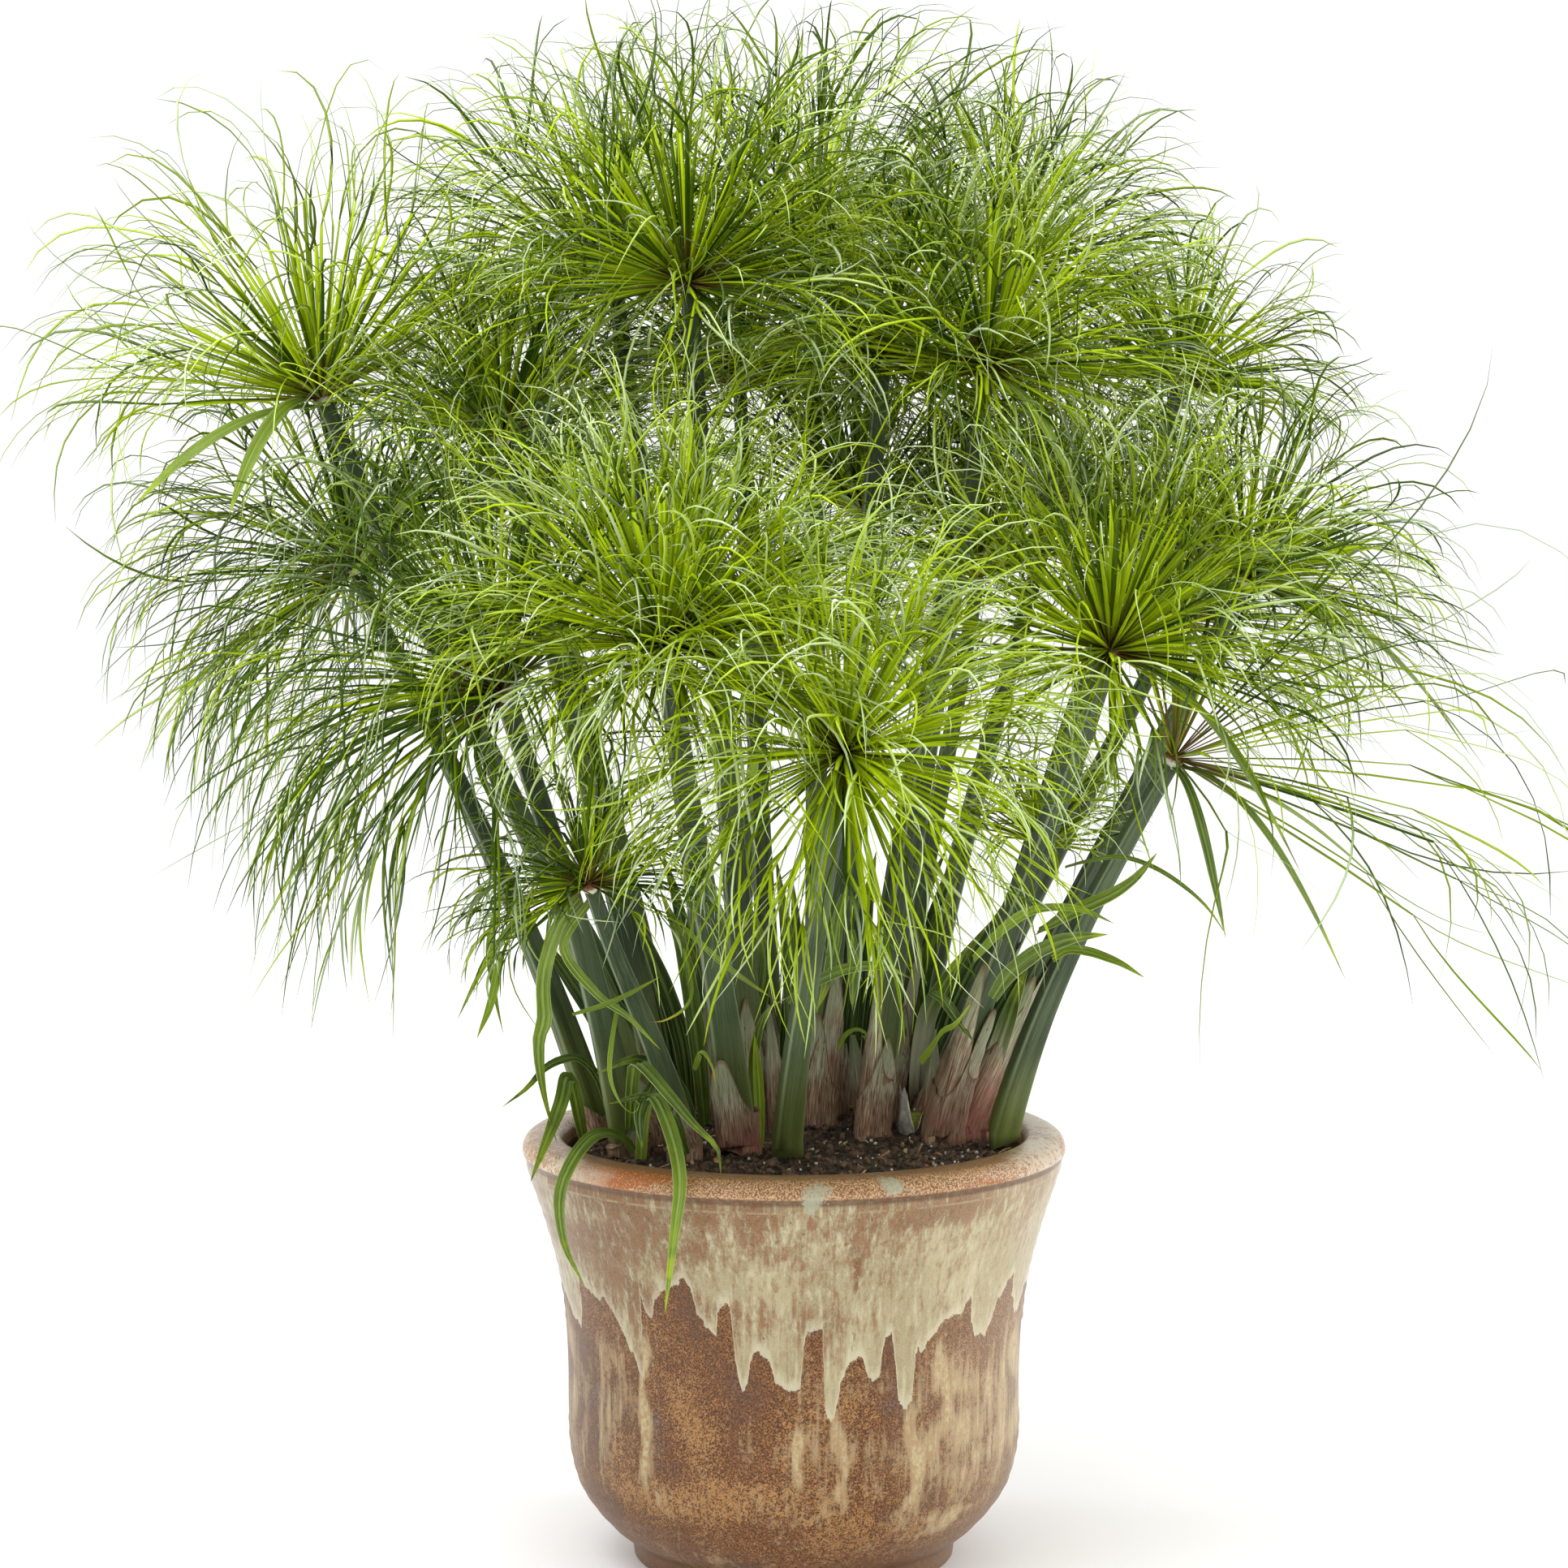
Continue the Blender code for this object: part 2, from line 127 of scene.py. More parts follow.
# %% Shader helpers
class Value:
    """A socket that can be used in sums, each of which adds the Math node that it needs."""

    def __init__(self, recipe, socket):
        self.recipe = recipe
        self.socket = socket

    def math(self, operation, *values):
        return self.recipe.add("ShaderNodeMath", {"operation": operation}, values)

    def __add__(self, other):
        return self.math("ADD", self, other)

    def __sub__(self, other):
        return self.math("SUBTRACT", self, other)

    def __rsub__(self, other):
        return self.math("SUBTRACT", other, self)

    def __mul__(self, other):
        return self.math("MULTIPLY", self, other)

    __radd__ = __add__
    __rmul__ = __mul__

    def rise(self, start, end):
        """0 below start, 1 above end and a soft step between; start may be the larger one."""
        settings = {"interpolation_type": "SMOOTHSTEP"}
        return self.recipe.add("ShaderNodeMapRange", settings, {0: self, 1: start, 2: end})


class Recipe:
    """One material: the nodes that end in a Principled shader."""

    def __init__(self, name):
        self.material = bpy.data.materials.new(name)
        self.material.use_nodes = True
        self.tree = self.material.node_tree
        self.shader = self.tree.nodes["Principled BSDF"]

    def plug(self, socket, value):
        if isinstance(value, Value):
            self.tree.links.new(value.socket, socket)
        elif socket.type == "RGBA":
            socket.default_value = (*value, 1.0)
        else:
            socket.default_value = value

    def add(self, kind, settings=None, inputs=(), output=0):
        node = self.tree.nodes.new(kind)
        for name, value in (settings or {}).items():
            setattr(node, name, value)
        for key, value in inputs.items() if isinstance(inputs, dict) else enumerate(inputs):
            self.plug(node.inputs[key], value)
        return Value(self, node.outputs[output])

    def place(self, stretch=(1.0, 1.0, 1.0)):
        """The point's own place on the object, squeezed or stretched along X, Y and Z."""
        point = self.add("ShaderNodeTexCoord", output=3)
        return self.add("ShaderNodeVectorMath", {"operation": "MULTIPLY"}, (point, stretch))

    def attribute(self, name):
        """A number that a mesh stores for each of its points."""
        return self.add("ShaderNodeAttribute", {"attribute_name": name}, output=2)

    def attributes(self, *names):
        return [self.attribute(name) for name in names]

    def noise(self, point, scale, detail=3.0, roughness=0.55):
        inputs = {"Vector": point, "Scale": scale, "Detail": detail, "Roughness": roughness}
        return self.add("ShaderNodeTexNoise", {}, inputs)

    def spots(self, point, scale):
        """How far the nearest of many scattered points is."""
        return self.add("ShaderNodeTexVoronoi", {}, {"Vector": point, "Scale": scale})

    def mix(self, share, first, second):
        """The first colour where share is 0 and the second where it is 1."""
        settings = {"data_type": "RGBA", "clamp_factor": True}
        return self.add("ShaderNodeMix", settings, {0: share, 6: first, 7: second}, output=2)

    def layers(self, colour, *rows):
        """Paints one colour after another over the first, each where its share says."""
        for share, paint in rows:
            colour = self.mix(share, colour, paint)
        return colour

    def finish(self, colour, roughness, height=None, distance=0.001, strength=1.0, specular=0.5):
        """Feeds the shader and gives the finished material."""
        self.shader.inputs["Specular IOR Level"].default_value = specular
        self.plug(self.shader.inputs["Base Color"], colour)
        self.plug(self.shader.inputs["Roughness"], roughness)
        if height is not None:
            inputs = {"Strength": strength, "Distance": distance, "Height": height}
            self.plug(self.shader.inputs["Normal"], self.add("ShaderNodeBump", {}, inputs))
        return self.material


print("one helper for every finish:", Recipe.__name__)


# %% [markdown]
# ## The floor
# A plain sheet of near-white paper. Only its shadow shows, so a faint mottle is all it has.

# %% Floor
def only(item):
    """Selects one object alone, since an operator acts on all that is selected."""
    if bpy.context.object and bpy.context.object.mode != "OBJECT":
        bpy.ops.object.mode_set(mode="OBJECT")
    bpy.ops.object.select_all(action="DESELECT")
    item.select_set(True)
    bpy.context.view_layer.objects.active = item


paper = Recipe("white_paper")
mottle = paper.noise(paper.place(), 3.0, 2.0)
paper.finish(paper.mix(mottle, (0.93, 0.93, 0.93), (0.95, 0.95, 0.95)), 0.8)

bpy.ops.object.select_all(action="DESELECT")
bpy.ops.mesh.primitive_plane_add(size=30.0, location=(0.0, 0.0, 0.0))
floor = bpy.context.object
floor.name = "paper_floor"
floor.data.materials.append(paper.material)
print("floor", tuple(floor.dimensions))


# %% [markdown]
# ## Shaping helpers
# Thin plant parts are all lines with a width: a stem, a leaf, a thread. Each is modelled straight
# once, and numpy then bends a copy along its own line. These helpers read and write points.

# %% Lines and points
def unit(vectors):
    return vectors / np.maximum(np.linalg.norm(vectors, axis=-1, keepdims=True), 1e-9)


def points_of(item):
    flat = np.empty(len(item.data.vertices) * 3)
    item.data.vertices.foreach_get("co", flat)
    return flat.reshape(-1, 3)


def move_points(mesh, points):
    mesh.vertices.foreach_set("co", np.asarray(points, dtype=np.float32).ravel())
    mesh.update()


def keep_values(mesh, name, values):
    """Stores a number for each point, which a material can read by that name."""
    layer = mesh.attributes.new(name, "FLOAT", "POINT")
    layer.data.foreach_set("value", np.asarray(values, dtype=np.float32))


def smooth_line(guides, count):
    """Count points, evenly spaced, on a smooth curve through the guide points."""
    guides = np.asarray(guides, dtype=float)
    ends = np.vstack([2 * guides[0] - guides[1], guides, 2 * guides[-1] - guides[-2]])
    spans = []
    for a, b, c, d in zip(ends, ends[1:], ends[2:], ends[3:]):
        t = np.linspace(0, 1, 12, endpoint=False)[:, None]
        spans.append(b + 0.5 * t * (c - a + t * (2 * a - 5 * b + 4 * c - d + t * (3 * (b - c) + d - a))))
    dense = np.vstack(spans + [guides[-1:]])
    walked = np.concatenate([[0], np.cumsum(np.linalg.norm(np.diff(dense, axis=0), axis=1))])
    at = np.linspace(0, walked[-1], count)
    return np.stack([np.interp(at, walked, dense[:, i]) for i in range(dense.shape[1])], axis=1)


def carried_frames(line, first_side):
    """The side and upper directions at each point of a line, carried along without twisting."""
    tangents = unit(np.gradient(line, axis=0))
    sides = [unit(first_side - tangents[0] * np.dot(first_side, tangents[0]))]
    for tangent in tangents[1:]:
        sides.append(unit(sides[-1] - tangent * np.dot(sides[-1], tangent)))
    sides = np.array(sides)
    return sides, np.cross(sides, tangents)


def new_piece(name, mesh, material, slot, *replaced):
    """Shows a mesh as a piece of the plant that rides on the pot and wears one finish."""
    item = bpy.data.objects.new(name, mesh)
    bpy.context.scene.collection.objects.link(item)
    mesh.materials.clear()
    mesh.materials.append(material)
    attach(item, "root")
    if replaced:
        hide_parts(*replaced)
    return item


chance = np.random.default_rng(11)
print("a smooth line of", len(smooth_line([(0, 0, 0), (1, 0, 1), (2, 0, 0)], 9)), "points")


# %% [markdown]
# ## The pot
# The pot was thrown on a wheel, so it is one outline turned round an axis: a rolled rim with a
# groove under it, a shoulder that draws in to a straight belly, and a small foot. Spin turns
# the outline in one step. A cylinder that is pushed into shape would need the same points twice.

# %% Turn the pot
RIM_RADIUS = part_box("pot")[1].x
POT_TURN_STEPS = 480
INSIDE = ((0.0, 0.022), (0.06, 0.022), (0.095, 0.0225), (0.122, 0.044), (0.14, 0.09), (0.144, 0.18),
          (0.153, 0.24), (0.1532, 0.276))
LIP = ((0.1536, 0.2838), (0.1546, 0.2862), (0.1575, 0.2891), (0.162, 0.2898), (0.168, 0.29), (0.174, 0.289),
       (0.1786, 0.2864), (0.1812, 0.2828), (0.1818, 0.2794), (0.1812, 0.277), (0.18, 0.2752),
       (0.1791, 0.2742), (0.1795, 0.2732))
BODY = ((0.1793, 0.27), (0.1765, 0.26), (0.1728, 0.249), (0.169, 0.238), (0.1643, 0.222), (0.1602, 0.207),
        (0.1567, 0.19), (0.1545, 0.175), (0.1528, 0.152), (0.152, 0.13), (0.1519, 0.105), (0.1512, 0.082),
        (0.1486, 0.066), (0.1442, 0.052), (0.138, 0.0415), (0.131, 0.0325), (0.1215, 0.0225),
        (0.1125, 0.0152), (0.1092, 0.0128))
FOOT = ((0.1083, 0.011), (0.108, 0.006), (0.1078, 0.002), (0.1066, 0.0004), (0.105, 0.0), (0.06, 0.0),
        (0.0, 0.0))


def turned(name, outline, steps):
    """Draws the outline as a chain of edges and spins it once round the Z axis."""
    mesh = bpy.data.meshes.new(name)
    corners = [(r, 0.0, z) for r, z in outline]
    mesh.from_pydata(corners, [(i, i + 1) for i in range(len(corners) - 1)], [])
    item = bpy.data.objects.new(name, mesh)
    bpy.context.scene.collection.objects.link(item)
    only(item)
    bpy.ops.object.mode_set(mode="EDIT")
    bpy.ops.mesh.select_all(action="SELECT")
    bpy.ops.mesh.spin(steps=steps, angle=math.tau, center=(0, 0, 0), axis=(0, 0, 1))
    bpy.ops.mesh.select_all(action="SELECT")
    bpy.ops.mesh.remove_doubles(threshold=0.00002)
    bpy.ops.mesh.normals_make_consistent(inside=False)
    bpy.ops.object.mode_set(mode="OBJECT")
    return item


shown_outline = smooth_line(LIP + BODY, 132)
pot = turned("glazed_pot", (*INSIDE, *shown_outline, *FOOT), POT_TURN_STEPS)
print("pot", len(pot.data.polygons), "faces, rim", round(RIM_RADIUS * 2000), "mm across")

# %% Make it look thrown by hand
RING_DEPTH = 0.00022
RINGS = 620
OVAL, TRIANGLE = 0.0007, 0.0004
WALL = 0.105

spots = points_of(pot)
turn = np.arctan2(spots[:, 1], spots[:, 0])
around = np.hypot(spots[:, 0], spots[:, 1])
throwing_rings = RING_DEPTH * np.sin(spots[:, 2] * RINGS + 2 * np.sin(turn)) * (around > 0.12)
slump = OVAL * np.sin(2 * turn + 0.6) + TRIANGLE * np.sin(3 * turn + spots[:, 2] * 9)
inner = (around < 0.1535) & (spots[:, 2] < 0.284) & (spots[:, 2] > 0.1)
swell = np.where(around > WALL, throwing_rings + slump, 0.0) * ~inner
swell[spots[:, 2] < 0.003] = 0.0
spots[:, :2] *= 1 + (swell / np.maximum(around, 0.01))[:, None]
move_points(pot.data, spots)
print("thrown: swells by up to", round(float(np.abs(swell).max()) * 1000, 2), "mm")

# %% [markdown]
# ### Where the glaze ran
# The pale glaze was poured over the shoulder and ran down in tongues, each with a steep side and
# a round end. How far it reached is one number for each direction round the pot. Storing each
# point's height above that edge lets the material draw a crisp border with ragged grain, which
# no single noise could put in the right places.

# %% Height above the glaze's edge
# Degrees round the pot from its front, and how high the edge is there.
EDGE = ((-95, 0.2), (-84, 0.2), (-76, 0.186), (-68, 0.172), (-65, 0.169), (-63.5, 0.18), (-61.6, 0.206),
        (-58, 0.199), (-53, 0.194), (-51.5, 0.199), (-49, 0.19), (-46, 0.178), (-43, 0.164), (-41, 0.152),
        (-39.6, 0.148), (-38.6, 0.207), (-37, 0.192), (-35.5, 0.19), (-34.2, 0.203), (-31, 0.209),
        (-27.5, 0.216), (-25.6, 0.222), (-24.2, 0.214), (-23, 0.196), (-20.5, 0.186), (-18.9, 0.18),
        (-17.6, 0.203), (-14.8, 0.205), (-14.0, 0.158), (-12.5, 0.147), (-11.2, 0.152), (-10.2, 0.17),
        (-9, 0.173), (-6, 0.168), (-4.5, 0.152), (-1, 0.147), (1.6, 0.149), (2.6, 0.187), (6.9, 0.188),
        (7.6, 0.131), (8.8, 0.127), (10.0, 0.13), (11.2, 0.152), (13.5, 0.165), (16.6, 0.168),
        (17.8, 0.156), (19.5, 0.151), (21.2, 0.155), (22.2, 0.179), (24.4, 0.182), (25.2, 0.158),
        (26.4, 0.136), (28.6, 0.131), (30.2, 0.136), (31, 0.172), (32.5, 0.166), (35, 0.176), (39, 0.187),
        (44, 0.189), (46.8, 0.201), (48.2, 0.184), (50, 0.171), (54.5, 0.168), (56, 0.176), (59, 0.193),
        (64.5, 0.207), (67, 0.19), (71, 0.176), (74, 0.178), (78, 0.192), (95, 0.2))
BACK_EDGE = [(104 + 6.4 * i, chance.uniform(0.175, 0.205) - 0.05 * (i % 3 == 1) * chance.random())
             for i in range(25)]
FIRST_ANGLE, LAST_ANGLE, LAST_HEIGHT = -95, 265, 0.2


def edge_height(degrees):
    """The height of the glaze's lower edge: level at each point given, and steep between two."""
    angles, heights = np.array((*EDGE, *BACK_EDGE, (LAST_ANGLE, LAST_HEIGHT))).T
    after = np.searchsorted(angles, degrees).clip(1, len(angles) - 1)
    share = ((degrees - angles[after - 1]) / (angles[after] - angles[after - 1])).clip(0, 1)
    return heights[after - 1] + (heights[after] - heights[after - 1]) * share ** 2 * (3 - 2 * share)


from_front = (np.degrees(turn) + 90 - FIRST_ANGLE) % 360 + FIRST_ANGLE
keep_values(pot.data, "above_edge", spots[:, 2] - edge_height(from_front))
lowest = edge_height(np.arange(FIRST_ANGLE, LAST_ANGLE, 1.0)).min()
print("glaze reaches down to", round(float(lowest) * 1000), "mm")

# %% Runs, rust and patches of colour
# Middle and half width in degrees, lowest and highest place in metres, and strength.
# The veil rows at -74 and 78 degrees, where the pot turns away on each side, are partly pale runs and partly
# a painted highlight for the side lamps' long reflections.
STAINS = {
    "veil": ((-49.5, 5, 0.085, 0.18, 0.75), (-39.8, 1.8, 0.06, 0.2, 0.95), (-21.6, 4, 0.081, 0.145, 0.25),
        (1.4, 1.9, 0.078, 0.13, 0.9), (11.4, 2.3, 0.055, 0.15, 0.9), (31, 4.0, 0.038, 0.16, 1.05),
        (39.5, 3.2, 0.085, 0.185, 1.0), (60, 9, 0.06, 0.17, 0.85), (-15, 20, 0.056, 0.076, 0.3),
        (40, 14, 0.036, 0.062, 0.7), (-74, 10, 0.05, 0.2, 0.75), (78, 10, 0.05, 0.2, 0.9),
        (46, 26, 0.045, 0.18, 0.72), (-58, 9, 0.055, 0.18, 0.45), (20, 3, 0.06, 0.11, 0.5),
        (-33, 3, 0.05, 0.08, 0.55), (52, 1.6, 0.06, 0.165, 0.95), (66, 2.2, 0.05, 0.19, 0.9),
        (-56, 1.5, 0.07, 0.18, 0.8), (-66, 3, 0.05, 0.17, 0.9), (-10, 30, 0.01, 0.034, 0.4)),
    "rusty": ((-26, 9, 0.226, 0.272, 0.62), (-49, 3.5, 0.2, 0.256, 0.55), (-7, 8, 0.225, 0.272, 0.42),
        (32, 14, 0.25, 0.274, 0.55), (14.5, 0.9, 0.205, 0.242, 0.95), (14.2, 0.9, 0.168, 0.188, 0.95),
        (-42, 30, 0.165, 0.278, 0.72), (10, 8, 0.228, 0.27, 0.3), (-72, 12, 0.15, 0.274, 0.3)),
    "golden": ((-27, 6, 0.085, 0.165, 0.8), (-14, 26, 0.05, 0.092, 0.9), (16, 5, 0.12, 0.15, 0.5),
        (30, 22, 0.035, 0.07, 0.7), (0, 6, 0.095, 0.14, 0.4), (-52, 6, 0.06, 0.12, 0.5)),
    "mint": ((4.5, 2.6, 0.262, 0.292, 0.9), (20, 2.4, 0.276, 0.292, 0.9), (24, 1.5, 0.276, 0.285, 0.6)),
    "amber": ((-34, 15, 0.274, 0.292, 1.0), (38, 14, 0.274, 0.286, 0.5)),
}
# How many more of each kind lie behind.
BACK_STAINS = {"veil": 9, "rusty": 6, "golden": 4, "mint": 2, "amber": 2}


def stain_values(rows):
    """How stained each point is. Each row has a middle, half width, low, high and strength."""
    most = np.zeros(len(spots))
    for middle, half_width, low, high, strength in rows:
        sway = half_width * 0.45 * np.sin(spots[:, 2] * 95 + middle)
        spread = half_width * (0.8 + 0.35 * np.sin(spots[:, 2] * 150 + 2 * middle))
        aside = np.abs((from_front - middle - sway + 180) % 360 - 180) / spread
        soft = (high - low) * 0.28
        window = np.clip((spots[:, 2] - low) / soft, 0, 1) * np.clip((high - spots[:, 2]) / soft, 0, 1)
        most = np.maximum(most, strength * window / (1 + aside ** 2.6))
    return most


for name, rows in STAINS.items():
    back = tuple((chance.uniform(105, 255), *rows[i][1:]) for i in range(BACK_STAINS[name]))
    keep_values(pot.data, name, stain_values(rows + back))
print("stains:", list(STAINS))

# %% [markdown]
# ### Two clays in one finish
# Above the edge the glaze is a beige stone colour with rust streaks where it is thin. Below it
# the bare body is rust brown, full of golden grains. Noise that is squeezed along Z turns into
# vertical runs, and fine noise added to the height above the edge makes the border ragged.

# %% Glaze finish
glaze = Recipe("run_glaze")
here = glaze.place()
runs = glaze.noise(glaze.place((1.0, 1.0, 0.07)), 70.0, 4.0, 0.65) - 0.5
fine_runs = glaze.noise(glaze.place((1.0, 1.0, 0.1)), 260.0, 3.0, 0.7) - 0.5
broad_runs = glaze.noise(glaze.place((1.0, 1.0, 0.22)), 24.0, 3.0) - 0.5
cloud = glaze.noise(here, 20.0, 3.0)
grain = glaze.noise(here, 860.0, 2.0, 0.7)
fine = glaze.noise(here, 250.0, 3.0, 0.7)
height = glaze.add("ShaderNodeSeparateXYZ", {}, (here,), output=2)
sideways = glaze.add("ShaderNodeSeparateXYZ", {}, (here,), output=0)
above_edge, veil, rusty, golden, mint, amber = glaze.attributes("above_edge", *STAINS)
speckle = fine - 0.5
ragged = above_edge + speckle * 0.01 + runs * 0.01
glazed = ragged.rise(-0.0006, 0.0006)

thin = rusty * 0.95 + height.rise(0.205, 0.272) * 0.28 + height.rise(0.25, 0.271) * 0.22
thin = thin + broad_runs * 0.8 + runs * 1.3 + fine_runs * 2.7 + speckle
thin_colour = glaze.mix((fine_runs + grain).rise(0.34, 0.62), (0.118, 0.047, 0.015), (0.235, 0.112, 0.043))
stone = glaze.layers(
    glaze.mix(cloud.rise(0.35, 0.65), (0.318, 0.26, 0.137), (0.398, 0.341, 0.195)),
    (grain.rise(0.42, 0.64) * 0.35, (0.5, 0.44, 0.29)),
    (fine_runs.rise(0.02, 0.2) * 0.55, (0.3, 0.19, 0.09)),
    (fine_runs.rise(-0.04, -0.2) * 0.45, (0.57, 0.52, 0.37)),
    (thin.rise(-0.1, 1.02) * 0.94, thin_colour),
    (ragged.rise(0.012, 0.0005) * 0.55, (0.58, 0.54, 0.39)),
)

gilt = golden * 0.11 + (cloud - 0.5) * 0.3 + fine * 0.4 + grain * 0.6
veiled = veil * 0.85 + broad_runs + runs * 1.3 + fine_runs * 1.4 + speckle * 1.3
run_colour = glaze.mix(fine.rise(0.4, 0.62), (0.5, 0.405, 0.225), (0.36, 0.235, 0.11))
rust = glaze.layers(
    glaze.mix(grain.rise(0.42, 0.6), (0.062, 0.021, 0.006), (0.235, 0.089, 0.019)),
    (gilt.rise(0.5, 0.68) * 0.75, (0.43, 0.225, 0.075)),
    ((cloud + broad_runs * 0.5).rise(0.47, 0.3) * 0.42, (0.08, 0.038, 0.021)),
    (cloud.rise(0.4, 0.28) * grain.rise(0.54, 0.6) * 0.7, (0.2, 0.2, 0.22)),
    (veiled.rise(0.12, 0.95) * 0.95, run_colour),
    (height.rise(0.03, 0.008) * 0.7, (0.15, 0.075, 0.036)),
)
print("finish:", glaze.material.name)

# %% Rim, groove and gloss
speckled = glaze.mix(grain.rise(0.42, 0.6), (0.185, 0.085, 0.034), (0.58, 0.36, 0.19))
orange = glaze.mix(grain.rise(0.54, 0.66), (0.31, 0.098, 0.022), (0.58, 0.3, 0.13))
# outer_side marks the rim's left and right sides. The paler colour laid there is partly pale glaze and partly
# a painted highlight for the side lamps' reflections.
outer_side = (sideways * sideways + (cloud - 0.5) * 0.02).rise(0.014, 0.024)
rim_colour = glaze.layers(
    speckled,
    ((amber + speckle * 2.0).rise(0.35, 0.65), orange),
    (outer_side * (fine + broad_runs).rise(0.38, 0.56) * 0.85, (0.56, 0.48, 0.36)),
    (height.rise(0.288, 0.2896) * (1 - outer_side) * 0.6, (0.19, 0.088, 0.038)),
)
groove = height.rise(0.2716, 0.274) * height.rise(0.2781, 0.2766)
pale_line = height.rise(0.2672, 0.268) * height.rise(0.2694, 0.2686) * (fine + runs).rise(0.45, 0.6)
pits = glaze.spots(here, 150.0).rise(0.14, 0.08) * fine.rise(0.55, 0.62)
colour = glaze.layers(
    rust,
    (glazed, stone),
    # Painted shade: the glaze is darkened towards the pot's left side, where less lamp light falls.
    (sideways.rise(0.0, -0.15) * 0.24, (0.06, 0.045, 0.025)),
    # Painted highlight: the glaze is lightened towards the right side, where the right lamp shines on it.
    (sideways.rise(0.04, 0.16) * 0.16, (0.62, 0.53, 0.38)),
    (groove * (0.45 + fine * 0.7), (0.105, 0.044, 0.016)),
    (pale_line * 0.4, (0.46, 0.35, 0.2)),
    (height.rise(0.2768, 0.2782), rim_colour),
    ((mint + speckle * 1.6).rise(0.4, 0.7) * 0.75, (0.37, 0.385, 0.275)),
    (pits * 0.8, (0.06, 0.038, 0.025)),
)
gloss = 0.36 - glazed * 0.1 + grain * 0.12
relief = glazed * 0.55 + grain * 0.18 + runs * 0.25 - pits * 0.5
pot_finish = glaze.finish(colour, gloss, relief, distance=0.0009, strength=0.6, specular=0.34)
pot.data.materials.append(pot_finish)
only(pot)
bpy.ops.object.shade_smooth()
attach(pot, "root")
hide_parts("pot")

# %% [markdown]
# ## The soil
# Peaty soil is dark, crumbly and never level: it is heaped a little round the clump and lower at
# the wall. A turned disc gives the right edge against the pot, and noise then lifts its top.
# Loose crumbs on top of it make the silhouette rough, which bump alone can't do.

# %% Turn and heap the soil
SOIL_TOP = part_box("soil")[1].z
MOUTH = 0.1525
HEAP, HEAP_MIDDLE = 0.01, (0.02, 0.085)
WALL_DIP = 0.005
LUMPS = 0.0022
under_soil = ((MOUTH, SOIL_TOP - 0.008), (0.15, 0.238), (0.141, 0.18), (0.1, 0.12), (0.0, 0.11))
rings = np.linspace(0.0, MOUTH, 58)
soil = turned("potting_soil", [(r, SOIL_TOP) for r in rings] + list(under_soil), 220)


def soil_height(x, y):
    """The heap: low at the wall in front, higher round the clump and at the back."""
    heap = HEAP * math.exp(-((x - HEAP_MIDDLE[0]) ** 2 + (y - HEAP_MIDDLE[1]) ** 2) / 0.006)
    wall = WALL_DIP * min(1.0, max(0.0, (math.hypot(x, y) - 0.135) / 0.017))
    lumps = noise.fractal(Vector((x, y, 0.3)) * 55, 0.9, 2.1, 4) * LUMPS
    return SOIL_TOP - 0.002 + heap - wall + lumps


spots = points_of(soil)
on_top = spots[:, 2] > SOIL_TOP - 0.001
spots[on_top, 2] = [soil_height(x, y) for x, y in spots[on_top, :2]]
move_points(soil.data, spots)
print("soil top from", round(float(spots[on_top, 2].min()), 4), "to", round(float(spots[on_top, 2].max()), 4))

# %% Soil finish
peat = Recipe("moist_peat")
crumb = peat.noise(peat.place(), 170.0, 4.0, 0.65)
patch = peat.noise(peat.place(), 28.0, 3.0)
dark = peat.mix(crumb.rise(0.38, 0.66), (0.012, 0.008, 0.005), (0.06, 0.036, 0.02))
dark = peat.mix(patch.rise(0.5, 0.7) * 0.5, dark, (0.085, 0.05, 0.027))
peat_finish = peat.finish(dark, 0.75 + crumb * 0.2, crumb, distance=0.002)
soil.data.materials.append(peat_finish)
only(soil)
bpy.ops.object.shade_smooth()
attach(soil, "root")
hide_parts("soil")
print("finish:", peat_finish.name)


# %% [markdown]
# ### Crumbs, perlite and bark
# Potting soil holds peat crumbs, white puffed perlite, strips of bark and bits of straw. Each
# kind is one small shape, modelled once with few faces. Numpy then turns, sizes and scatters
# its copies over the heap and joins them in one mesh, so a thousand crumbs stay one object.

# %% Scatter copies of a small shape
def scattered(name, shape, spots, sizes, material):
    """One mesh of copies of the shape's faces at the spots, each turned at random."""
    corners = points_of(shape)
    turns, _ = np.linalg.qr(chance.normal(size=(len(spots), 3, 3)))
    turns *= np.sign(np.linalg.det(turns))[:, None, None]
    points = np.einsum("nij,vj->nvi", turns, corners) * sizes[:, None, None] + spots[:, None]
    faces = np.array([tuple(polygon.vertices) for polygon in shape.data.polygons])
    faces = faces[None] + (np.arange(len(spots)) * len(corners))[:, None, None]
    mesh = bpy.data.meshes.new(name)
    mesh.from_pydata(points.reshape(-1, 3).tolist(), [], faces.reshape(-1, faces.shape[2]).tolist())
    bpy.data.objects.remove(shape)
    return new_piece(name, mesh, material, "potting_soil")


def soil_spots(count, lift=0.0):
    """Points spread evenly over the soil's top."""
    radius = 0.147 * np.sqrt(chance.random(count))
    swing = chance.uniform(0, math.tau, count)
    x, y = radius * np.cos(swing), radius * np.sin(swing)
    return np.stack([x, y, [soil_height(a, b) + lift for a, b in zip(x, y)]], axis=1)


def lump(name, wobble, stretch):
    """A small ball with few faces, dented at random and drawn out along Z."""
    bpy.ops.object.select_all(action="DESELECT")
    bpy.ops.mesh.primitive_ico_sphere_add(subdivisions=1, radius=0.5, location=(0, 0, 0))
    item = bpy.context.object
    item.name = name
    points = points_of(item)
    points *= chance.uniform(1 - wobble, 1 + wobble, (len(points), 1))
    move_points(item.data, points * (1, 1, stretch))
    return item


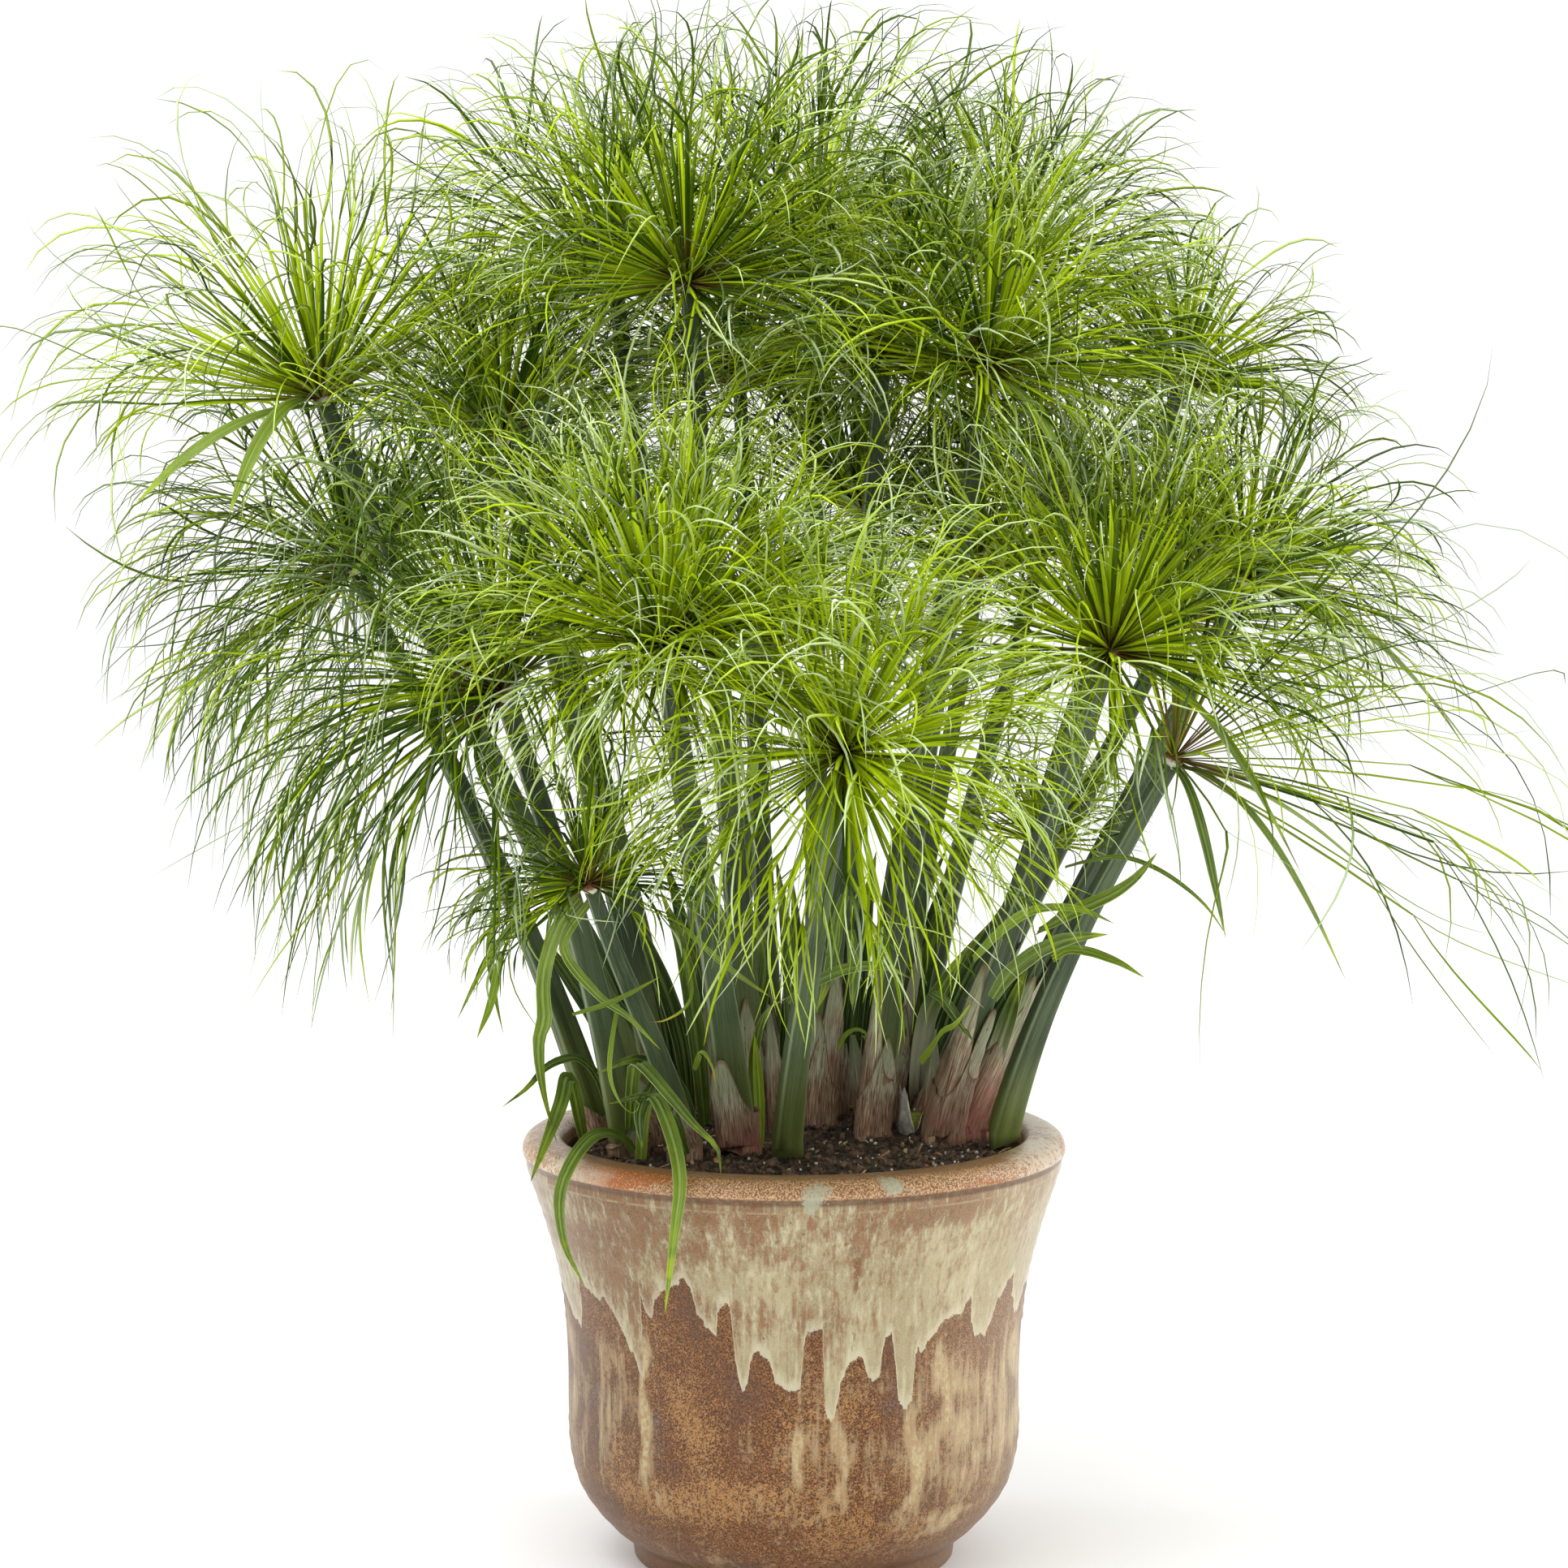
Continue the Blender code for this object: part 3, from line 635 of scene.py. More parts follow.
def strip(name, width, length):
    """A flat chip with a raised, narrowed middle, from a cube."""
    bpy.ops.object.select_all(action="DESELECT")
    bpy.ops.mesh.primitive_cube_add(size=1.0, location=(0, 0, 0))
    item = bpy.context.object
    item.name = name
    bpy.ops.object.mode_set(mode="EDIT")
    bpy.ops.mesh.select_all(action="SELECT")
    bpy.ops.transform.resize(value=(width, 0.12, length))
    bpy.ops.mesh.bisect(plane_co=(0, 0, 0.1 * length), plane_no=(0.2, 0, 1))
    bpy.ops.transform.translate(value=(0.0, 0.18, 0.0))
    bpy.ops.object.mode_set(mode="OBJECT")
    bpy.ops.object.modifier_add(type="TRIANGULATE")
    bpy.ops.object.modifier_apply(modifier=item.modifiers[0].name)
    return item


def plain_finish(name, low, high, scale, roughness):
    """A dry, matte finish that drifts between two colours, with fine dents."""
    recipe = Recipe(name)
    drift = recipe.noise(recipe.place(), scale, 4.0, 0.65)
    colour = recipe.mix(drift.rise(0.36, 0.64), low, high)
    return recipe.finish(colour, roughness + drift * 0.1, drift, distance=0.0006)


crumb_finish = plain_finish("peat_crumb", (0.004, 0.003, 0.002), (0.135, 0.078, 0.042), 110.0, 0.8)
perlite_finish = plain_finish("perlite", (0.42, 0.39, 0.33), (0.8, 0.77, 0.7), 120.0, 0.7)
bark_finish = plain_finish("bark_and_straw", (0.2, 0.085, 0.03), (0.5, 0.34, 0.18), 60.0, 0.7)
CRUMBS, GRAINS, CHIPS, STRAWS = 2600, 170, 120, 26
scattered("soil_crumbs", lump("crumb", 0.25, 0.8), soil_spots(CRUMBS),
          chance.gamma(3.0, 0.001, CRUMBS) + 0.001, crumb_finish)
scattered("perlite_grains", lump("grain", 0.15, 1.0), soil_spots(GRAINS, 0.0008),
          chance.uniform(0.0012, 0.003, GRAINS), perlite_finish)
scattered("bark_chips", strip("chip", 0.5, 1.2), soil_spots(CHIPS, 0.0008),
          chance.uniform(0.002, 0.0055, CHIPS), bark_finish)
scattered("straw_bits", strip("straw", 0.1, 2.4), soil_spots(STRAWS, 0.0015),
          chance.uniform(0.004, 0.009, STRAWS), bark_finish)
print("crumbs, perlite, bark and straw lie on the soil")


# %% [markdown]
# ## The stems
# A papyrus stem is a triangle with rounded corners, thick in its sheath at the foot and slim
# under the umbel. One straight rod with that section is modelled and then bent along the middle
# line of each CAD stem. A bevelled curve would give the shape as well, but not the numbers that
# the finish needs: how far up a point is, and how near it is to a corner.

# %% Read the CAD stems
STEM_COUNT = 25
# Two feet stand aside along X, by less and less up to the shift height.
FOOT_SHIFT = {"20": -0.009, "21": 0.006}
SHIFT_HEIGHT = 0.2
Stem = namedtuple("Stem", "name line radii corner")


def read_stem(number):
    """The middle line, radii and one corner's direction, from a CAD stem's three-sided rings."""
    name = f"stem_{number:02d}"
    corners = np.unique(np.round(points_of(nodes[name]), 5), axis=0)
    rings = corners[np.argsort(corners[:, 2])].reshape(-1, 3, 3)
    middles = rings.mean(axis=1)
    radii = np.linalg.norm(rings - middles[:, None], axis=2).mean(axis=1)
    climbed = (middles[:, 2] - middles[0, 2]) / SHIFT_HEIGHT
    middles[:, 0] += FOOT_SHIFT.get(name[-2:], 0.0) * (1 - climbed).clip(0, 1) ** 2
    return Stem(name, middles, radii, unit(rings[0, 2] - middles[0]))


stems = [read_stem(number) for number in range(1, STEM_COUNT + 1)]
by_key = {stem.name[-2:]: stem for stem in stems}
tops = {key: stem.line[-1] for key, stem in by_key.items()}
print("stems rise to between", round(min(t[2] for t in tops.values()), 3), "and",
      round(max(t[2] for t in tops.values()), 3), "m")

# %% Model one straight rod
ROD_SIDES = 24
ROD_RINGS = 36
CLOSER_UP = 0.9


def cut_across(name, heights):
    """Names the cylinder just added, puts its place in its mesh and cuts a ring at each height."""
    item = bpy.context.object
    item.name = name
    bpy.ops.object.transform_apply(location=True)
    bpy.ops.object.mode_set(mode="EDIT")
    for height in heights:
        bpy.ops.mesh.select_all(action="SELECT")
        bpy.ops.mesh.bisect(plane_co=(0, 0, height), plane_no=(0, 0, 1))
    bpy.ops.object.mode_set(mode="OBJECT")
    return item


def keep_turn(item):
    """Stores which way from the Z axis each point lies, for a material, and gives both."""
    points = points_of(item)
    turn = np.arctan2(points[:, 1], points[:, 0])
    keep_values(item.data, "ribs_x", np.cos(turn))
    keep_values(item.data, "ribs_y", np.sin(turn))
    return points, turn


bpy.ops.object.select_all(action="DESELECT")
bpy.ops.mesh.primitive_cylinder_add(vertices=ROD_SIDES, radius=1.0, depth=1.0, location=(0, 0, 0.5))
rod = cut_across("straight_rod", [(ring / ROD_RINGS) ** CLOSER_UP for ring in range(1, ROD_RINGS)])
rod_spots, rod_turn = keep_turn(rod)
keep_values(rod.data, "along", rod_spots[:, 2])
keep_values(rod.data, "corner", 0.5 + 0.5 * np.cos(3 * rod_turn))
print("rod", len(rod.data.polygons), "faces")

# %% Stem finish
skin = Recipe("culm_skin")
along, corner, ribs_x, ribs_y = skin.attributes("along", "corner", "ribs_x", "ribs_y")
ribs = skin.noise(skin.add("ShaderNodeCombineXYZ", {}, (ribs_x, ribs_y, along * 0.6)), 15.0, 3.0, 0.6)
broad = skin.noise(skin.place(), 9.0, 2.0)
speck = skin.noise(skin.place(), 420.0, 2.0)
green = skin.layers(
    skin.mix(broad.rise(0.35, 0.65), (0.026, 0.042, 0.018), (0.066, 0.096, 0.042)),
    (ribs.rise(0.48, 0.66) * 0.38, (0.17, 0.205, 0.105)),
    # Painted highlight: the three rounded corners are lightened, partly for their paler ridges and partly for
    # the gloss that catches the light along them.
    (corner.rise(0.9, 1.0) * 0.65, (0.29, 0.34, 0.2)),
    (along.rise(0.3, 0.02) * (0.45 + broad * 0.5), (0.14, 0.17, 0.03)),
    (speck.rise(0.62, 0.75) * 0.35, (0.04, 0.055, 0.022)),
)
culm_finish = skin.finish(green, 0.46 + speck * 0.14, ribs * 0.7 + speck * 0.15,
                          distance=0.0006, strength=0.7, specular=0.22)
print("finish:", culm_finish.name)


# %% Bend a rod along each stem
PATH_STEPS = 96
RADIUS_STEPS = 40


def between(at, *rows):
    """The values of each row at places that fall between two of its steps."""
    low = np.minimum(at.astype(int), PATH_STEPS - 1)
    mixed = (at - low)[:, None]
    return [row[low] * (1 - mixed) + row[low + 1] * mixed for row in rows]


def rounded(middle, side, upper, radius, turn):
    """Points at a radius from a middle line, each in its own direction round it."""
    return middle + side * (radius * np.cos(turn))[:, None] + upper * (radius * np.sin(turn))[:, None]


def bent_rod(name, line, radii, first_side):
    """A copy of the straight rod with its middle on line and its corners at radii from it."""
    mesh = rod.data.copy()
    mesh.name = name
    path = smooth_line(line, PATH_STEPS + 1)
    share = rod_spots[:, 2]
    middle, side, upper = between(share * PATH_STEPS, path, *carried_frames(path, first_side))
    radius = np.interp(share, np.linspace(0, 1, len(radii)), radii) * (0.8 + 0.2 * np.cos(3 * rod_turn))
    radius *= np.hypot(rod_spots[:, 0], rod_spots[:, 1])
    move_points(mesh, rounded(middle, unit(side), unit(upper), radius, rod_turn))
    return mesh


def stem_radii(stem):
    """The CAD stem's radii, full at its foot and a little slimmer further up."""
    walked = np.linspace(0, 1, RADIUS_STEPS)
    cad = np.interp(walked, np.linspace(0, 1, len(stem.radii)), stem.radii)
    return cad * np.interp(walked, (0.0, 0.1, 0.3, 1.0), (1.0, 1.0, 0.97, 0.8))


for stem in stems:
    mesh = bent_rod("culm_" + stem.name[-2:], stem.line, stem_radii(stem), stem.corner)
    mesh.shade_smooth()
    new_piece(mesh.name, mesh, culm_finish, "stem_skin", stem.name)
print(len(stems), "stems of", len(mesh.polygons), "faces each")


# %% [markdown]
# ## Sheaths and young shoots
# A papery sheath wraps the foot of each stem and ends in a point on one side. The newest are
# pale with a pink flush, and the old ones are brown. An open tube with its rim pulled up on one
# side has that form, so a tube is modelled once and wrapped round each stem's own section.

# %% Model one straight tube
TUBE_SIDES = 30
TUBE_RINGS = 16

bpy.ops.object.select_all(action="DESELECT")
bpy.ops.mesh.primitive_cylinder_add(vertices=TUBE_SIDES, radius=1.0, depth=1.0, end_fill_type="NOTHING",
                                    location=(0, 0, 0.5))
tube = cut_across("straight_tube", [ring / TUBE_RINGS for ring in range(1, TUBE_RINGS)])
bpy.ops.object.modifier_add(type="SOLIDIFY")
tube.modifiers[0].thickness = 0.07
tube.modifiers[0].offset = 1.0
bpy.ops.object.modifier_apply(modifier=tube.modifiers[0].name)
tube_spots, tube_turn = keep_turn(tube)
print("tube", len(tube.data.polygons), "faces")

# %% Sheath finish
papery = Recipe("papery_sheath")
along, flush, rim, ribs_x, ribs_y = papery.attributes("along", "flush", "rim", "ribs_x", "ribs_y")
vein_point = papery.add("ShaderNodeCombineXYZ", {}, (ribs_x, ribs_y, along * 0.25))
veins = papery.noise(vein_point, 22.0, 3.0, 0.7) - 0.5
blotch = papery.noise(papery.place(), 75.0, 3.0) - 0.5
stains = papery.noise(papery.place((1.0, 1.0, 0.4)), 230.0, 2.0)
bark = papery.mix(veins.rise(-0.12, 0.14), (0.125, 0.068, 0.04), (0.5, 0.33, 0.215))
pale = papery.mix(veins.rise(-0.12, 0.14), (0.22, 0.225, 0.12), (0.62, 0.6, 0.43))
red = (flush + blotch * 1.6 + veins * 0.8).rise(0.3, 1.1) * (along + veins).rise(0.8, 0.1)
sheath = papery.layers(
    bark,
    ((along + flush * 0.3 + blotch * 0.9 + veins * 0.6).rise(0.34, 0.88), pale),
    (red * 0.85, (0.35, 0.11, 0.085)),
    ((along + flush * 0.2 + veins).rise(0.65, 1.05) * 0.6, (0.19, 0.25, 0.12)),
    (rim.rise(0.93, 0.99) * 0.8, (0.16, 0.085, 0.04)),
    (stains.rise(0.68, 0.74) * 0.7, (0.06, 0.035, 0.022)),
)
sheath_finish = papery.finish(
    sheath, 0.625 + blotch * 0.15, veins + blotch * 0.4, distance=0.0007, specular=0.25)
print("finish:", sheath_finish.name)

# %% Wrap the sheaths
# Length in metres, the direction of the point in degrees, and how pink the sheath is.
SHEATHS = {
    "01": (0.052, 300, 0.35), "02": (0.04, 200, 0.2), "03": (0.062, 260, 0.2), "04": (0.088, 250, 0.15),
    "05": (0.1, 285, 0.2), "06": (0.095, 270, 0.15), "07": (0.085, 250, 0.25), "08": (0.094, 280, 0.1),
    "09": (0.09, 260, 0.15), "10": (0.075, 300, 0.35), "11": (0.105, 310, 0.3), "12": (0.08, 240, 0.15),
    "13": (0.086, 300, 0.25), "14": (0.088, 258, 0.7), "15": (0.022, 300, 0.1), "17": (0.05, 285, 0.2),
    "18": (0.112, 330, 0.5), "19": (0.1, 300, 0.25), "20": (0.122, 255, 0.9), "22": (0.06, 280, 0.3),
    "23": (0.07, 250, 0.15), "24": (0.08, 270, 0.15), "25": (0.08, 300, 0.2),
}
INNER_SHEATHS = {
    "18": (0.15, 235, 0.15), "20": (0.165, 320, 0.3), "11": (0.14, 230, 0.1), "10": (0.125, 220, 0.1),
    "19": (0.14, 240, 0.1), "13": (0.13, 330, 0.1), "12": (0.12, 300, 0.05), "07": (0.12, 310, 0.1),
    "09": (0.135, 320, 0.1), "08": (0.13, 230, 0.05),
}
FIT, INNER_FIT = 1.03, 0.98
SHORTEST = 0.36
FLARE = 0.06
BURIED = 0.009


def wrapped_sheath(name, stem, fit, length, compass, flush):
    """A copy of the tube round a stem's foot, with its point on the side that compass gives."""
    mesh = tube.data.copy()
    mesh.name = name
    line = smooth_line(stem.line, PATH_STEPS + 1)
    sides, uppers = carried_frames(line, stem.corner)
    walked = np.linspace(0, np.linalg.norm(np.diff(line, axis=0), axis=1).sum(), PATH_STEPS + 1)
    away = np.array((math.cos(math.radians(compass)), math.sin(math.radians(compass))))
    bearing = np.arctan2(away @ uppers[0, :2], away @ sides[0, :2])
    share = tube_spots[:, 2].clip(0, 1)
    pointed = SHORTEST + (1 - SHORTEST) * (0.5 + 0.5 * np.cos(tube_turn - bearing)) ** 5
    climbed = share * pointed * length
    at = np.interp(climbed, walked, np.arange(PATH_STEPS + 1.0))
    radius = np.interp(at / PATH_STEPS, np.linspace(0, 1, RADIUS_STEPS), stem_radii(stem))
    radius *= 0.83 + 0.18 * np.cos(3 * tube_turn)
    radius *= fit + FLARE * np.exp(-climbed / 0.018) + 0.12 * share ** 6
    radius *= 1 + 0.02 * np.sin(7 * tube_turn + 40 * climbed / length)
    radius = (radius + 0.0006) * np.hypot(tube_spots[:, 0], tube_spots[:, 1])
    points = rounded(*between(at, line, sides, uppers), radius, tube_turn)
    points[share < 0.01, 2] -= BURIED
    move_points(mesh, points)
    keep_values(mesh, "along", share * pointed)
    keep_values(mesh, "rim", share)
    keep_values(mesh, "flush", np.full(len(share), flush))
    return mesh


wraps = [("sheath_" + key, key, FIT, *row) for key, row in SHEATHS.items()]
wraps += [("inner_sheath_" + key, key, INNER_FIT, *row) for key, row in INNER_SHEATHS.items()]
for name, key, *shape in wraps:
    mesh = wrapped_sheath(name, by_key[key], *shape)
    mesh.shade_smooth()
    new_piece(mesh.name, mesh, sheath_finish, "stem_skin")
bpy.data.objects.remove(tube)
print(len(wraps), "sheaths")

# %% Young shoots and the cut stub
# Guide points, radii from foot to tip, and how pink the shoot is.
YOUNG = {
    "crimson_shoot": (((0.092, 0.03, 0.28), (0.093, 0.02, 0.315), (0.095, 0.01, 0.356)),
        (0.0085, 0.007, 0.001), 0.95),
    "grey_stub": (((0.068, 0.1, 0.28), (0.066, 0.092, 0.305), (0.062, 0.088, 0.33)),
        (0.0055, 0.0042, 0.003), 0.05),
    "shoot_bulb": (((0.05, 0.07, 0.28), (0.045, 0.06, 0.305), (0.04, 0.052, 0.345)),
        (0.0095, 0.0085, 0.002), 0.55),
    "small_shoot": (((0.036, 0.094, 0.28), (0.036, 0.09, 0.31), (0.034, 0.085, 0.352)),
        (0.0075, 0.0065, 0.0008), 0.3),
    "edge_shoot": (((-0.012, 0.03, 0.28), (-0.014, 0.024, 0.32), (-0.017, 0.016, 0.372)),
        (0.008, 0.0072, 0.0008), 0.45),
}
for name, (guides, radii, flush_share) in YOUNG.items():
    mesh = bent_rod(name, np.array(guides), np.array(radii), np.array((1.0, 0.2, 0.0)))
    keep_values(mesh, "rim", np.zeros(len(mesh.vertices)))
    keep_values(mesh, "flush", np.full(len(mesh.vertices), flush_share))
    mesh.shade_smooth()
    new_piece(name, mesh, sheath_finish, "stem_skin")
print(len(YOUNG), "shoots")

# %% The cut stub
STUB_PLACE = (0.078, 0.036)
STUB_FOOT = 0.276
STUB_SIDES = 24

cut = Recipe("cut_face")
pith = cut.spots(cut.place(), 900.0)
cut_finish = cut.finish(cut.mix(pith.rise(0.1, 0.6), (0.42, 0.46, 0.05), (0.2, 0.24, 0.03)), 0.5)
STUB_OUTLINE = [(0.0, 0.296), (0.0048, 0.2962), (0.0056, 0.295), (0.006, 0.285), (0.0064, 0.276),
                (0.0, 0.275)]
stub = turned("cut_stub", STUB_OUTLINE, STUB_SIDES)
HUSK_OUTLINE = [(0.0062, 0.278), (0.0064, 0.29), (0.007, 0.2985), (0.0078, 0.3025), (0.0082, 0.3022),
                (0.0075, 0.2975), (0.007, 0.289), (0.007, 0.278)]
husk = turned("stub_husk", HUSK_OUTLINE + HUSK_OUTLINE[:1], STUB_SIDES)
for item, finish in ((stub, cut_finish), (husk, perlite_finish)):
    spots = points_of(item)
    turn = np.arctan2(spots[:, 1], spots[:, 0])
    tall = (spots[:, 2] - STUB_FOOT).clip(0, 1)
    spots[:, 2] += tall * 0.5 * (np.sin(2 * turn + 1) + 0.5 * np.sin(5 * turn)) * (item == husk)
    spots[:, 0] = spots[:, 0] * 1.25 + STUB_PLACE[0] + tall * 0.15
    spots[:, 1] += STUB_PLACE[1] - tall * 0.3
    move_points(item.data, spots)
    item.data.materials.append(finish)
    only(item)
    bpy.ops.object.shade_smooth()
    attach(item, "root")
print("stub with a papery husk")


# %% [markdown]
# ## Leaves
# Narrow leaves rise from the clump, and leafy bracts hang under the umbels. All are one shape: a
# strip with a folded middle that narrows to a point. It is modelled straight, thickened a little,
# and each copy is bent along its own line. Its two attributes, across and along, draw the veins.

# %% Model one straight blade
BLADE_STEPS = 22

bpy.ops.object.select_all(action="DESELECT")
bpy.ops.mesh.primitive_grid_add(x_subdivisions=6, y_subdivisions=BLADE_STEPS, size=1.0,
                                location=(0.0, 0.5, 0.0))
blade = bpy.context.object
blade.name = "straight_blade"
bpy.ops.object.transform_apply(location=True)
for column, drop in ((0.0, -0.2), (0.17, -0.11), (0.34, -0.035)):
    bpy.ops.object.mode_set(mode="OBJECT")
    for vertex in blade.data.vertices:
        vertex.select = abs(abs(vertex.co.x) - column) < 0.05
    bpy.ops.object.mode_set(mode="EDIT")
    bpy.ops.mesh.select_mode(type="VERT")
    bpy.ops.transform.translate(value=(0, 0, drop))
    bpy.ops.mesh.select_all(action="DESELECT")
bpy.ops.object.mode_set(mode="OBJECT")
bpy.ops.object.modifier_add(type="SOLIDIFY")
blade.modifiers[0].thickness = 0.06
bpy.ops.object.modifier_apply(modifier=blade.modifiers[0].name)
blade_spots = points_of(blade)
blade_row = np.rint(blade_spots[:, 1] * BLADE_STEPS).astype(int).clip(0, BLADE_STEPS)
keep_values(blade.data, "along", blade_row / BLADE_STEPS)
keep_values(blade.data, "across", blade_spots[:, 0] * 2)
print("blade", len(blade.data.polygons), "faces")

# %% Leaf finish
leaf = Recipe("strap_leaf")
along, across, tint, dry, sheathed = leaf.attributes("along", "across", "tint", "dry", "sheathed")
line_point = leaf.add("ShaderNodeCombineXYZ", {}, (across * 3.0, along * 0.7, tint * 9.0))
lines = leaf.noise(line_point, 2.6, 3.0, 0.6)
mottle = leaf.noise(leaf.place(), 60.0, 3.0)
middle = 1 - across * across
faded = along + dry - 1 + (mottle - 0.5) * 0.3
husk_share = (along + (lines - 0.5) * 0.4).rise(0.05, 0.3)
green = leaf.layers(
    leaf.mix((tint + (mottle - 0.5) * 0.4).rise(0.0, 1.0), (0.024, 0.06, 0.007), (0.262, 0.38, 0.014)),
    (lines.rise(0.5, 0.66) * 0.45, (0.33, 0.44, 0.17)),
    (middle.rise(0.93, 1.0) * 0.32, (0.38, 0.49, 0.13)),
    (along.rise(0.7, 0.98) * mottle.rise(0.35, 0.6) * 0.65, (0.48, 0.6, 0.02)),
    (middle.rise(0.2, 0.0) * 0.35, (0.52, 0.58, 0.27)),
    (faded.rise(0.55, 0.85) * 0.9, (0.56, 0.52, 0.05)),
    (faded.rise(0.86, 0.96), (0.3, 0.165, 0.075)),
    (sheathed * (along + (lines - 0.5) * 0.5).rise(0.7, 0.35),
     leaf.mix(husk_share, (0.3, 0.15, 0.105), (0.47, 0.47, 0.33))),
)
leaf_finish = leaf.finish(green, 0.36 + mottle * 0.12, lines, distance=0.0005, specular=0.3)
print("finish:", leaf_finish.name)


# %% Bend a blade along a line
# The way that a leaf's upper side looks: towards the viewer and a little up.
FRONT = np.array((0.12, -0.8, 0.6))
BLADE_SHARE = np.linspace(0, 1, BLADE_STEPS + 1)
SHARP_FOLD = math.radians(50)


def bent_blade(name, guides, width, tint, dry=0.0, roll=0.0, foot=0.6, replaced=(), face=FRONT):
    """A leaf along the guide points; roll turns it about its length, in degrees at its tip."""
    mesh = blade.data.copy()
    path = smooth_line(guides, BLADE_STEPS + 1)
    tangents = unit(np.gradient(path, axis=0))
    flat = unit(np.cross(tangents, face))
    steep = np.cross(flat, tangents)
    swing = np.radians(roll) * BLADE_SHARE[:, None]
    sides = flat * np.cos(swing) + steep * np.sin(swing)
    uppers = steep * np.cos(swing) - flat * np.sin(swing)
    profile = np.interp(BLADE_SHARE, (0, 0.12, 0.4, 0.65, 0.85, 0.95, 1.0),
                        (foot, 0.5 + foot / 2, 1.0, 0.88, 0.5, 0.2, 0.03))
    points = sides[blade_row] * blade_spots[:, :1] + uppers[blade_row] * blade_spots[:, 2:]
    points = path[blade_row] + points * (width * profile)[blade_row][:, None]
    for value_name, value in (("tint", tint), ("dry", dry), ("sheathed", float(foot >= 1))):
        keep_values(mesh, value_name, np.full(len(points), value))
    move_points(mesh, points)
    item = new_piece(name, mesh, leaf_finish, "leaf_green", *replaced)
    only(item)
    bpy.ops.object.mode_set(mode="EDIT")
    bpy.ops.mesh.select_all(action="SELECT")
    bpy.ops.mesh.normals_make_consistent(inside=False)
    bpy.ops.object.mode_set(mode="OBJECT")
    bpy.ops.object.shade_smooth_by_angle(angle=SHARP_FOLD)


MM_PER_M = 1000
Leaf = namedtuple("Leaf", "guides width tint dry roll foot replaced", defaults=(0.0, 0.0, 0.6, ()))
